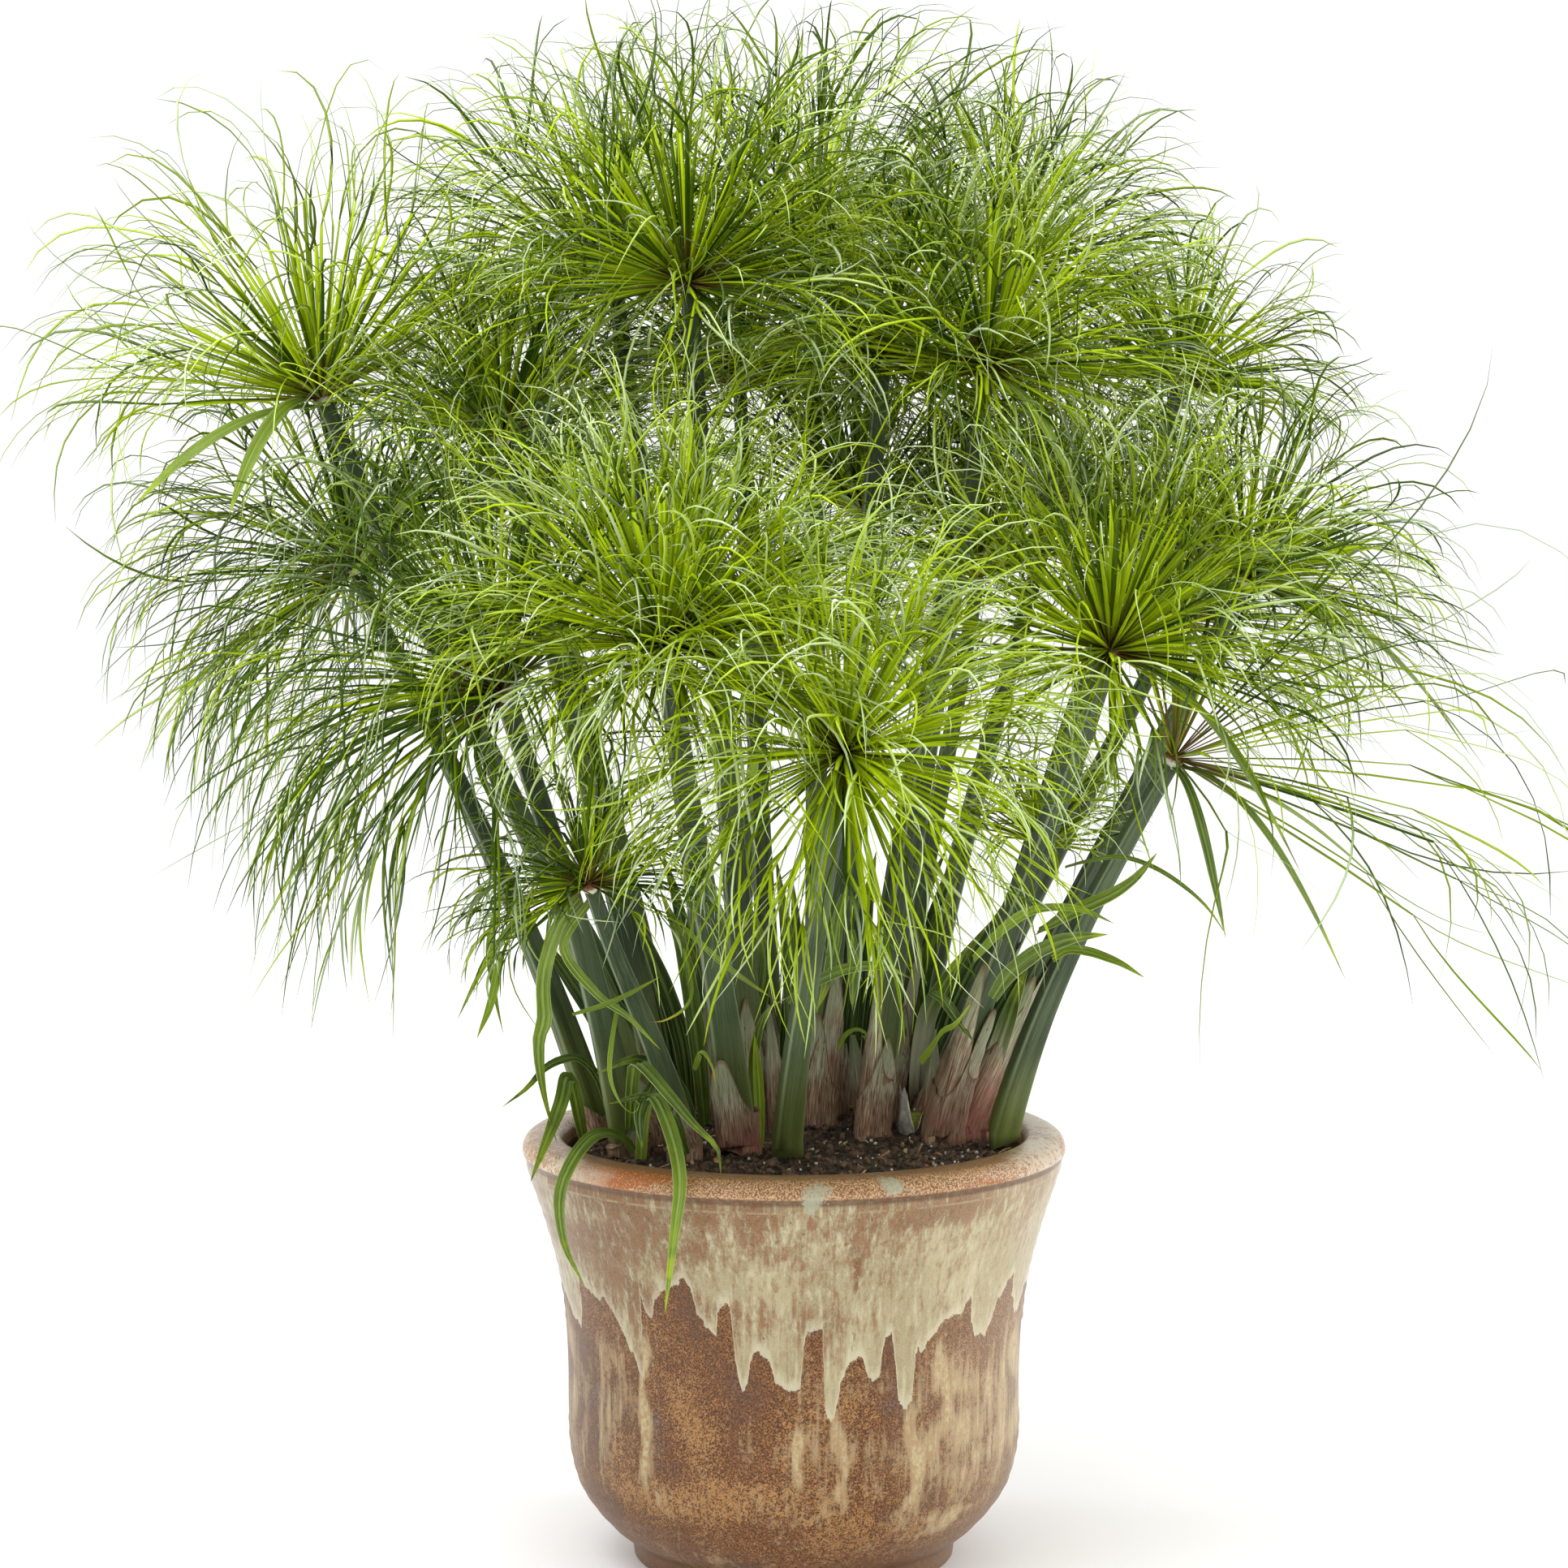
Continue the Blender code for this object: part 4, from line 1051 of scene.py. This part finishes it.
# Guide points and widths are in millimetres.
LEAVES = {
    "hanging_leaf": Leaf(((-135, -190, 472), (-148, -190, 455), (-157, -172, 422), (-158, -150, 390),
        (-162, -135, 372), (-161, -110, 338), (-155, -75, 294)), 10.5, 0.45, 0.55, 40),
    "left_leaf_upper": Leaf(((-190, -100, 462), (-196, -100, 428), (-193, -100, 399), (-188, -100, 370)), 6,
        0.85, 0.2, 60),
    "left_leaf_lower": Leaf(((-189, -100, 425), (-195, -110, 393), (-204, -120, 371)), 6, 0.9, 0.2, 50),
    "basal_leaf_arch": Leaf(((-118, -12, 283), (-128, -40, 330), (-139, -60, 348), (-149, -80, 352),
        (-161, -100, 349), (-172, -120, 339), (-187, -140, 330)), 6.2, 0.3, 0, 20, 0.5, ("basal_leaf_3",)),
    "basal_leaf_broad": Leaf(((-140, -10, 284), (-146, -30, 325), (-149, -50, 335), (-152, -75, 322),
        (-160, -100, 302), (-170, -122, 278)), 10.5, 0.45, 0, 15),
    "basal_leaf_over_rim": Leaf(((-104, -50, 284), (-114, -66, 299), (-128, -98, 306), (-140, -128, 298),
        (-149, -143, 280), (-150, -146, 262), (-146, -141, 238), (-135, -132, 212)), 9, 0.4, 0.35, 0, 0.7,
        ("basal_leaf_1",)),
    "basal_leaf_front": Leaf(((-100, -80, 284), (-97, -90, 322), (-90, -112, 334), (-81, -140, 322),
        (-74, -168, 304), (-72, -183, 286), (-75, -186, 262), (-82, -180, 205)), 9.8, 0.5, 0, 0, 0.7,
        ("basal_leaf_2",)),
    "basal_leaf_slant": Leaf(((-108, -60, 300), (-104, -90, 345), (-99, -110, 355), (-81, -125, 338),
        (-64, -135, 319), (-49, -140, 304), (-47, -140, 286)), 9.5, 0.35, 0.1, 25),
    "basal_leaf_short": Leaf(((-92, -80, 336), (-99, -110, 322), (-98, -120, 300)), 8.5, 0.2, 0, 20),
    "basal_leaf_inner": Leaf(((-70, -60, 283), (-80, -80, 318), (-96, -95, 330), (-120, -105, 326)), 9, 0.2,
        0, -20),
    "basal_leaf_dark": Leaf(((-62, -30, 283), (-75, -60, 330), (-100, -85, 352), (-128, -100, 345)), 8.5,
        0.15, 0, 30),
    "low_bract": Leaf(((-128, -185, 470), (-145, -175, 440), (-125, -160, 408), (-105, -140, 389),
        (-86, -120, 364)), 7.5, 0.55, 0.45, 20),
    "low_bract_thin": Leaf(((-140, -170, 395), (-115, -160, 402), (-85, -150, 416)), 3.5, 0.7, 0, 10),
    "curled_tendril": Leaf(((-114, -110, 392), (-118, -130, 354), (-112, -130, 333), (-104, -120, 323),
        (-100, -115, 327), (-103, -113, 330)), 3.5, 0.8, 0.3, 60),
    "dry_wisp": Leaf(((-72, -80, 424), (-66, -95, 401), (-70, -110, 390), (-83, -120, 383),
        (-95, -120, 382)), 2.2, 0.9, 1.0, 30),
    "dry_wisp_low": Leaf(((-66, -60, 340), (-60, -75, 356), (-52, -80, 345), (-50, -80, 325)), 5, 0.9, 1.0,
        90),
    "bright_blade": Leaf(((-22, -30, 283), (-23, -35, 320), (-26, -45, 362)), 7.2, 0.85, 0, 20),
    "folded_blade": Leaf(((-24, -10, 285), (-27, -20, 330), (-25, -40, 356), (-18, -60, 380),
        (-2, -80, 393)), 6.5, 0.4, 0, 30),
    "tall_blade": Leaf(((-30, 40, 283), (-26, 34, 350), (-20, 28, 395), (-23, 24, 420), (-31, 20, 442)), 12,
        0.25, 0, 10),
    "tall_blade_left": Leaf(((-60, 50, 283), (-66, 40, 350), (-76, 30, 410), (-90, 20, 450)), 12, 0.3, 0,
        20),
    "tall_blade_mid": Leaf(((4, 60, 283), (0, 50, 350), (-4, 45, 410), (-12, 40, 470)), 11, 0.2, 0, 10),
    "tall_blade_right": Leaf(((80, 90, 283), (84, 80, 350), (96, 70, 410), (112, 50, 455)), 12, 0.25, 0,
        15),
    "thin_bract": Leaf(((-70, -170, 450), (-62, -160, 442), (-44, -150, 424), (-14, -130, 399)), 4.2, 0.55,
        0, 0),
    "middle_leaf": Leaf(((-4, -60, 384), (4, -65, 394), (25, -75, 408), (45, -75, 413), (62, -65, 410),
        (78, -55, 400)), 9, 0.35, 0.1, 25),
    "middle_hanging_left": Leaf(((34, -25, 452), (30, -30, 438), (27, -38, 418), (22, -40, 394),
        (15, -40, 376)), 9.2, 0.3, 0, 40),
    "middle_hanging_right": Leaf(((38, -20, 428), (41, -28, 404), (39, -30, 375)), 9, 0.3, 0, 50),
    "right_leaf_low": Leaf(((117, -45, 412), (135, -75, 437), (153, -95, 452), (172, -115, 457),
        (188, -125, 455), (204, -135, 448)), 8.8, 0.8, 0.55, 10, 0.6, ("basal_leaf_6",)),
    "right_leaf_high": Leaf(((158, -65, 434), (167, -80, 442), (183, -95, 453), (202, -105, 463),
        (218, -115, 475), (232, -125, 492)), 10.5, 0.55, 0, 15, 0.6, ("basal_leaf_4",)),
    "right_leaf_broad": Leaf(((128, -90, 392), (138, -100, 410), (152, -117, 426), (165, -135, 436),
        (181, -145, 441), (199, -150, 443)), 12, 0.35, 0, -25),
    "right_leaf_tip": Leaf(((167, -85, 418), (177, -93, 426), (191, -107, 427), (209, -125, 422),
        (224, -135, 413)), 8.5, 0.7, 0.4, 20, 0.6, ("basal_leaf_5",)),
    "right_leaf_thin": Leaf(((176, -75, 477), (190, -90, 483), (210, -100, 487), (228, -110, 483),
        (245, -120, 474), (263, -130, 459), (277, -130, 439)), 3.6, 0.5, 0.15, 0),
    "yellow_curl": Leaf(((84, 0, 335), (90, -10, 346), (97, -25, 360), (107, -40, 370), (116, -45, 383),
        (112, -50, 386)), 7.5, 0.95, 0.75, 120),
    "sheath_leaf_pale": Leaf(((88, 60, 283), (86, 30, 325), (90, 5, 368), (102, -15, 397), (118, -30, 422)),
        13.5, 0.3, 0, 20, 1.0),
    "sheath_leaf_right": Leaf(((124, 30, 283), (134, 15, 330), (146, -5, 375), (156, -20, 405)), 13, 0.35,
        0, 10, 1.0),
    "small_dark_leaf": Leaf(((92, -10, 385), (100, -20, 382), (108, -30, 372), (119, -40, 356)), 8.5, 0.2,
        0, 30),
    "green_curl": Leaf(((46, 48, 345), (50, 36, 349), (55, 30, 338), (57, 28, 324), (53, 30, 308)), 7.5,
        0.5, 0.1, 60),
    "curl_wisp": Leaf(((30, 35, 338), (36, 32, 350), (45, 30, 353), (56, 30, 344)), 3.5, 0.6, 0.5, 20),
    "yellow_tip": Leaf(((140, 60, 284), (143, 55, 300), (142, 52, 318)), 6, 1.0, 0.3, 10),
    "yellow_scrap": Leaf(((-30, -10, 520), (-28, -14, 532), (-24, -16, 545)), 7, 1.0, 0.4, 30),
    "straw_piece": Leaf(((38, 62, 294.5), (52, 60, 295.5), (66, 60, 295)), 2.2, 0.9, 1.0, 10),
}
for name, row in LEAVES.items():
    guides, width = np.array(row.guides) / MM_PER_M, row.width / MM_PER_M
    bent_blade(name, guides, width, row.tint, row.dry, row.roll, row.foot, row.replaced)

# %% Blades behind the clump
BACK_BLADES = 22
BACK_REACH = 0.115
for number in range(BACK_BLADES):
    x = BACK_REACH * (2 * number / (BACK_BLADES - 1) - 1)
    y = chance.uniform(0.075, 0.125) * (1 - 26 * x * x)
    lean, tall = x * 0.6 + chance.normal(0, 0.01), chance.uniform(0.12, 0.21)
    guides = [(x + lean * t * t, y - 0.02 * t, 0.283 + tall * t) for t in (0.0, 0.4, 0.8, 1.0)]
    width, tint = chance.uniform(0.01, 0.015), chance.uniform(0.02, 0.25)
    bent_blade(f"back_blade_{number + 1}", guides, width, tint, roll=20)
print(len(LEAVES) + BACK_BLADES, "leaves")


# %% [markdown]
# ## The umbels
# Each stem ends in a small head from which well over a hundred rays spread. A ray is straight and
# stiff, and about half way out it splits into a few long threads that arch over and curl. No
# operator grows that, and particles don't export, so all the threads of an umbel are worked out
# together in numpy: where they start, how they lean, sag and curl, and how wide they are. Each
# becomes a closed three-sided sliver, flat on top like the real ribbon.

# %% Grow lines that sag and curl
def grow(starts, ways, lengths, steps, sag, curl):
    """Lines of the given lengths: each leaves along its way, then bends down and to one side."""
    lines = np.empty((len(starts), steps + 1, 3))
    lines[:, 0] = starts
    way = unit(ways)
    bend = np.cross(way, unit(chance.normal(size=ways.shape))) * curl
    stride = (lengths / steps)[:, None]
    turning = np.cross(way, bend) * chance.uniform(-1, 1, (len(starts), 1))
    for i in range(steps):
        lines[:, i + 1] = lines[:, i] + way * stride
        ease = (i + 0.5) / steps
        way = way - UP * sag * ease * (0.6 + ease) + bend * (0.3 + 1.6 * ease ** 2)
        way = unit(way + turning * (ease - 0.4))
    return lines, way


def slivers(lines, widths, twist, keel):
    """The corners and faces of closed three-sided strips along lines, flat side up."""
    count, rings = lines.shape[:2]
    tangents = unit(np.gradient(lines, axis=1))
    side = unit(np.cross(tangents, UP + 1e-4))
    upper = np.cross(side, tangents)
    swing = twist[:, None] * np.linspace(0.3, 1, rings)[None, :]
    turned_side = side * np.cos(swing)[..., None] + upper * np.sin(swing)[..., None]
    turned_up = np.cross(turned_side, tangents)
    half = widths[..., None] * 0.5
    corners = np.stack([lines + turned_side * half, lines - turned_side * half,
                        lines - turned_up * half * keel], axis=2)
    base = (np.arange(count) * rings * 3)[:, None, None]
    ring = (np.arange(rings - 1) * 3)[None, :, None]
    quads = [base + ring + np.array(q) for q in ((1, 0, 3, 4), (2, 1, 4, 5), (0, 2, 5, 3))]
    quads = np.stack(quads, axis=2).reshape(-1, 4)
    last = (rings - 1) * 3
    ends = np.stack([base[:, 0] + np.array((0, 1, 2)), base[:, 0] + last + np.array((0, 2, 1))], axis=1)
    return corners.reshape(-1, 3), quads, ends.reshape(-1, 3)


def joined_mesh(name, parts):
    """One mesh from several sets of corners, quads and triangles."""
    corners = np.vstack([part[0] for part in parts])
    offsets = np.concatenate([[0], np.cumsum([len(part[0]) for part in parts])])
    quads = np.vstack([part[1] + offset for part, offset in zip(parts, offsets)])
    triangles = np.vstack([part[2] + offset for part, offset in zip(parts, offsets)])
    mesh = bpy.data.meshes.new(name)
    mesh.vertices.add(len(corners))
    mesh.vertices.foreach_set("co", corners.astype(np.float32).ravel())
    mesh.loops.add(quads.size + triangles.size)
    loops = np.concatenate([quads.ravel(), triangles.ravel()])
    mesh.loops.foreach_set("vertex_index", loops.astype(np.int32))
    mesh.polygons.add(len(quads) + len(triangles))
    starts = np.concatenate([np.arange(len(quads)) * 4, quads.size + np.arange(len(triangles)) * 3])
    mesh.polygons.foreach_set("loop_start", starts.astype(np.int32))
    mesh.update(calc_edges=True)
    return mesh


print("a sliver with 4 rings has", 3 * 3 + 2, "faces")


# %% [markdown]
# ### What differs from umbel to umbel
# Some umbels look straight up, others lean towards the light or hang over the rim, and the old
# ones droop. Their heads and reach come from the CAD nodes, and this list holds the rest: the way
# each looks, how wide it opens, how much its threads sag and curl, and how yellow its green is.

# %% The umbels' characters
# lime sets how yellow an umbel's green is: partly the umbel's own colour and partly painted light, since
# umbels that face the light are given a brighter lime.
Tuft = namedtuple("Tuft", "face opens sag curl rays lime")
TUFTS = {
    "01": Tuft((-0.28, -0.1, 0.95), 82, 0.36, 0.32, 122, 0.58),
    "02": Tuft((-0.55, 0.1, 0.8), 105, 0.6, 0.22, 165, 0.2),
    "03": Tuft((-0.05, -0.1, 0.98), 80, 0.34, 0.26, 130, 0.4),
    "04": Tuft((-0.1, 0.05, 0.98), 100, 0.3, 0.25, 160, 0.45),
    "05": Tuft((0.0, -0.2, 0.98), 100, 0.3, 0.25, 170, 0.5),
    "06": Tuft((0.0, 0.2, 0.98), 95, 0.35, 0.25, 120, 0.35),
    "07": Tuft((0.05, -0.15, 0.98), 105, 0.32, 0.25, 170, 0.5),
    "08": Tuft((0.0, 0.25, 0.96), 100, 0.3, 0.22, 150, 0.4),
    "09": Tuft((0.2, 0.3, 0.93), 100, 0.3, 0.22, 150, 0.4),
    "10": Tuft((0.1, -0.15, 0.98), 105, 0.32, 0.25, 170, 0.5),
    "11": Tuft((0.25, 0.1, 0.95), 95, 0.38, 0.24, 130, 0.45),
    "12": Tuft((0.0, -0.05, 1.0), 70, 0.2, 0.2, 110, 0.35),
    "13": Tuft((0.1, -0.1, 1.0), 75, 0.22, 0.2, 110, 0.4),
    "14": Tuft((0.02, -0.4, 0.92), 100, 0.24, 0.13, 290, 0.78),
    "15": Tuft((-0.62, -0.3, 0.72), 92, 0.8, 0.2, 172, 0.14),
    "16": Tuft((0.05, -0.8, 0.6), 112, 0.34, 0.17, 190, 0.75),
    "17": Tuft((-0.3, 0.05, 0.95), 115, 0.7, 0.4, 100, 0.34),
    "18": Tuft((0.1, -0.3, 0.95), 105, 0.32, 0.25, 190, 0.6),
    "19": Tuft((0.4, 0.25, 0.88), 95, 0.42, 0.24, 120, 0.4),
    "20": Tuft((0.4, -0.1, 0.9), 95, 0.45, 0.24, 150, 0.45),
    "21": Tuft((0.75, -0.25, 0.61), 80, 0.36, 0.3, 38, 0.38),
    "22": Tuft((0.1, -0.2, 0.95), 85, 0.3, 0.3, 60, 0.55),
    "23": Tuft((-0.3, 0.45, 0.84), 105, 0.36, 0.22, 150, 0.4),
    "24": Tuft((0.0, 0.6, 0.8), 105, 0.4, 0.22, 130, 0.4),
    "25": Tuft((0.3, 0.45, 0.84), 105, 0.36, 0.22, 140, 0.4),
}
HEAD_OFFSET = 0.0045
THREADS_PER_RAY = 3
# These have one thread fewer to each ray.
THIN_CROWNED = ("01", "11", "19", "20", "21")
MORE_RAYS = 1.2
# These keep only a share of their CAD umbel's reach.
DRAWN_IN = {"01": 0.96, "09": 0.9, "11": 0.77, "15": 0.9, "19": 0.78, "20": 0.87, "25": 0.86}
RAY_STEPS = 3
THREAD_STEPS = 7
GOLDEN_ANGLE = math.pi * (3 - math.sqrt(5))
ROOM = 0.012
ROOM_LOW = np.array(cad_low) - ROOM
ROOM_HIGH = np.array(cad_high) + ROOM
print(len(TUFTS), "umbels with", sum(t.rays for t in TUFTS.values()), "rays")


# %% Spread the rays
RAYS_IN_BUNCH, BUNCHING, STRAY = 9, 0.28, 0.05


def cap_ways(face, opens, count):
    """Directions that fill the cap round face, in loose bunches as the real rays stand."""
    face = unit(np.array(face, dtype=float))
    side = unit(np.cross(face, (0.31, 0.89, 0.33)))
    other = np.cross(face, side)
    share = (np.arange(count) + chance.random(count)) / count
    swing = chance.uniform(0, math.tau) + np.arange(count) * GOLDEN_ANGLE
    height = 1 - (1 - math.cos(math.radians(opens))) * share
    flat = np.sqrt(np.maximum(0, 1 - height ** 2))
    round_face = side * np.cos(swing)[:, None] + other * np.sin(swing)[:, None]
    ways = face * height[:, None] + round_face * flat[:, None]
    bunches = ways[chance.integers(0, count, size=max(6, count // RAYS_IN_BUNCH))]
    nearest = bunches[np.argmax(ways @ bunches.T, axis=1)]
    return unit(ways + (nearest - ways) * BUNCHING + chance.normal(size=ways.shape) * STRAY)


print("rays stand in bunches of about", RAYS_IN_BUNCH)


# %% Keep the threads within reach
def tucked(lines, centre, furthest):
    """Draws in any line that would end too far from its umbel's head or leave the CAD model's room."""
    starts = lines[:, :1]
    away = lines - starts
    over = np.maximum(away.max(axis=1) / np.maximum(ROOM_HIGH - starts[:, 0], 1e-6),
                      away.min(axis=1) / np.minimum(ROOM_LOW - starts[:, 0], -1e-6)).max(axis=1)
    over = np.maximum(over, np.linalg.norm(lines[:, -1] - centre, axis=1) / furthest)
    return starts + away / np.maximum(over, 1.0)[:, None, None]


print("threads may reach from", ROOM_LOW.round(3), "to", ROOM_HIGH.round(3))

# %% Work out one umbel
# Lengths are shares of the umbel's reach, and widths are in metres.
RAY_LENGTHS, RAY_CURL = (0.44, 0.66), 0.04
RAY_WIDTHS = np.array((0.0018, 0.0026, 0.0027, 0.002))
THREAD_LENGTHS, THREAD_REACH = (0.3, 0.75), 1.12
THREAD_WIDTHS = np.array((0.78, 1.0, 1.0, 0.98, 0.91, 0.78, 0.53, 0.08)) * 0.002
THREAD_SPREAD = 0.25
LEAST_CURL = 0.09
RAY_TINT, THREAD_TINT = 0.31, 0.12
FORK = 0.45


def per_corner(values, steps):
    """Repeats a number for each sliver, once for each of its corners."""
    return np.repeat(values, (steps + 1) * 3)


def umbel_mesh(key, tuft):
    """All the rays and threads of one umbel, with each point's place along its thread and its tint."""
    line = by_key[key].line
    axis = unit(line[-1] - line[-2])
    centre = line[-1] + axis * HEAD_OFFSET
    cad = points_of(nodes["umbel_" + key])
    reach = float(np.quantile(np.linalg.norm(cad - centre, axis=1), 0.985)) * DRAWN_IN.get(key, 1.0)
    ways = cap_ways(tuft.face, tuft.opens, int(tuft.rays * MORE_RAYS))
    ways = ways[ways @ axis > -0.5]
    count = len(ways)
    size = chance.uniform(*RAY_LENGTHS, count) * reach
    rays, ends = grow(centre + ways * 0.004, ways, size, RAY_STEPS, tuft.sag * 0.3, RAY_CURL)
    widths = RAY_WIDTHS * chance.uniform(0.7, 1.25, (count, 1))
    tint = np.clip(chance.normal(tuft.lime, RAY_TINT, count), 0, 1)
    each = THREADS_PER_RAY - (key in THIN_CROWNED)
    starts = np.repeat(rays[:, -1], each, axis=0)
    threads = len(starts)
    spread = chance.normal(size=(threads, 3)) * THREAD_SPREAD
    thread_ways = unit(np.repeat(ends, each, axis=0) + spread)
    lengths = reach * chance.uniform(*THREAD_LENGTHS, threads)
    curls = LEAST_CURL + chance.gamma(2.2, tuft.curl * 0.5, (threads, 1))
    sags = tuft.sag * chance.uniform(0.7, 1.8, (threads, 1))
    lines, _ = grow(starts, thread_ways, lengths, THREAD_STEPS, sags, curls)
    lines = tucked(lines, centre, reach * THREAD_REACH)
    thread_widths = THREAD_WIDTHS * chance.uniform(0.45, 1.15, (threads, 1))
    parts = [slivers(rays, widths, chance.normal(0, 0.5, count), 0.9),
             slivers(lines, thread_widths, chance.normal(0, 1.1, threads), 0.6)]
    mesh = joined_mesh("umbel_threads_" + key, parts)
    thread_tint = np.clip(np.repeat(tint, each) + chance.normal(0, THREAD_TINT, threads), 0, 1)
    ray_share = np.repeat(np.linspace(0, FORK, RAY_STEPS + 1), 3)
    thread_share = np.repeat(np.linspace(FORK, 1.0, THREAD_STEPS + 1), 3)
    # pale is a random share for each ray and thread: high ones get a painted highlight, low ones get painted
    # shade, and the very highest get dry brown tips.
    palest = 0.62 + 0.45 * tuft.lime
    ray_pale, thread_pale = chance.random(count) * palest, chance.random(threads) * palest
    keep_values(mesh, "along", np.concatenate([np.tile(ray_share, count), np.tile(thread_share, threads)]))
    for name, of_ray, of_thread in (("tint", tint, thread_tint), ("pale", ray_pale, thread_pale)):
        values = np.concatenate([per_corner(of_ray, RAY_STEPS), per_corner(of_thread, THREAD_STEPS)])
        keep_values(mesh, name, values)
    return mesh


print("a ray forks at", FORK, "of its whole length")

# %% Thread finish
thread = Recipe("thread_green")
along, tint, pale = thread.attributes("along", "tint", "pale")
wander = thread.noise(thread.place(), 38.0, 2.0)
shade = (tint + (wander - 0.5) * 0.5).rise(0.0, 1.0)
green = thread.layers(
    thread.mix(shade, (0.028, 0.066, 0.0005), (0.43, 0.58, 0.005)),
    # Painted shade: the hub side of rays and threads with a low pale value is darkened, as the inside of the
    # umbel lies in shade.
    (pale.rise(0.3, 0.05) * along.rise(0.75, 0.4) * 0.8, (0.03, 0.066, 0.0005)),
    # Painted highlight: the outer parts of threads with a high pale value turn a pale mint, for the gloss on
    # their upper sides.
    (along.rise(0.46, 0.82) * pale.rise(0.3, 0.95) * 0.85, (0.56, 0.665, 0.4)),
    # Painted shade: the outer parts of threads with a low pale value are darkened.
    (along.rise(0.4, 0.6) * pale.rise(0.4, 0.1) * 0.6, (0.05, 0.097, 0.002)),
    (along.rise(0.18, 0.03) * (0.8 - shade * 0.5), (0.29, 0.16, 0.055)),
    (pale.rise(0.965, 0.975) * along.rise(0.8, 0.95), (0.42, 0.25, 0.06)),
)
thread_finish = thread.finish(green, 0.38 + wander * 0.12, specular=0.07)
print("finish:", thread_finish.name)

# %% Hang the umbels on their stems
triangles = 0
for key, tuft in TUFTS.items():
    mesh = umbel_mesh(key, tuft)
    triangles += sum(len(polygon.vertices) - 2 for polygon in mesh.polygons)
    new_piece(mesh.name, mesh, thread_finish, "ray_green", "umbel_" + key)
print(len(TUFTS), "umbels,", triangles, "triangles")

# %% Bracts under the umbels
# Direction and slope in degrees, length in metres, droop, and width in metres.
BRACTS = {
    "01": ((203, 5, 0.125, 0.6, 0.011), (235, 25, 0.1, 1.2, 0.0105)), "03": ((215, -5, 0.12, 0.7, 0.008),),
    "04": ((190, 0, 0.13, 0.8, 0.009),), "05": ((10, 10, 0.14, 0.9, 0.01), (170, 0, 0.13, 0.9, 0.009)),
    "07": ((185, 20, 0.19, 0.35, 0.009),), "10": ((300, 0, 0.12, 0.8, 0.009),),
    "12": ((250, 40, 0.11, 0.6, 0.009),), "13": ((160, 35, 0.12, 0.6, 0.009),),
    "14": ((330, 5, 0.13, 0.5, 0.009),), "15": ((205, 0, 0.16, 0.9, 0.0045),),
    "16": ((260, -10, 0.12, 0.5, 0.007),), "17": ((170, 15, 0.085, 1.3, 0.006),),
    "18": ((180, 5, 0.15, 0.35, 0.009), (330, 0, 0.13, 1.0, 0.009)),
    "20": ((345, 0, 0.16, 0.75, 0.008), (20, 5, 0.17, 0.8, 0.009)),
    "21": ((330, 0, 0.12, 1.1, 0.009), (0, -5, 0.15, 0.55, 0.0105), (300, -10, 0.06, 1.6, 0.008)),
    "24": ((80, 0, 0.12, 0.8, 0.008),),
}
BRACT_SHARE = np.linspace(0, 1, 9)[:, None]
for key, rows in BRACTS.items():
    for number, (compass, slope, length, droop, width) in enumerate(rows, start=1):
        flat = math.cos(math.radians(slope))
        away = math.radians(compass)
        way = np.array((math.cos(away) * flat, math.sin(away) * flat, math.sin(math.radians(slope))))
        drop = length * droop * (0.3 + 0.7 * flat) * BRACT_SHARE ** 2
        guides = tops[key] + way * (0.004 + length * BRACT_SHARE) - UP * drop
        tint, dry = chance.uniform(0.25, 0.7), chance.uniform(0, 0.3)
        bent_blade(f"bract_{key}_{number}", guides, width, tint, dry, roll=25, face=UP + FRONT * 0.4)
bpy.data.objects.remove(blade)
print(sum(len(rows) for rows in BRACTS.values()), "bracts")

# %% Heads
HEAD_OUTLINE = ((0.0, -0.35), (0.8, -0.3), (0.95, 0.0), (1.12, 0.35), (1.18, 0.7), (1.0, 0.95), (0.6, 1.2),
                (0.0, 1.28))
HEAD_SIDES = 18
head = turned("umbel_head", HEAD_OUTLINE, HEAD_SIDES)
head_spots = points_of(head)
keep_values(head.data, "rise", head_spots[:, 2])
crown = Recipe("umbel_crown")
rise = crown.attribute("rise")
flecks = crown.noise(crown.place(), 500.0, 2.0)
husky_share = (rise + (flecks - 0.5) * 0.6).rise(0.55, 0.85)
husky = crown.mix(husky_share, (0.5, 0.5, 0.38), (0.2, 0.08, 0.035))
crown_finish = crown.finish(husky, 0.55, flecks, distance=0.0004)
for key, stem in by_key.items():
    axis = unit(stem.line[-1] - stem.line[-2])
    side = unit(np.cross(axis, (0.0, 1.0, 0.1)))
    size = stem_radii(stem)[-1] * 0.92
    mesh = head.data.copy()
    move_points(mesh, tops[key] + head_spots @ np.array((side, np.cross(axis, side), axis)) * size)
    mesh.shade_smooth()
    new_piece("umbel_head_" + key, mesh, crown_finish, "stem_skin")
bpy.data.objects.remove(head)
bpy.data.objects.remove(rod)
print(len(by_key), "heads of", len(mesh.polygons), "faces")
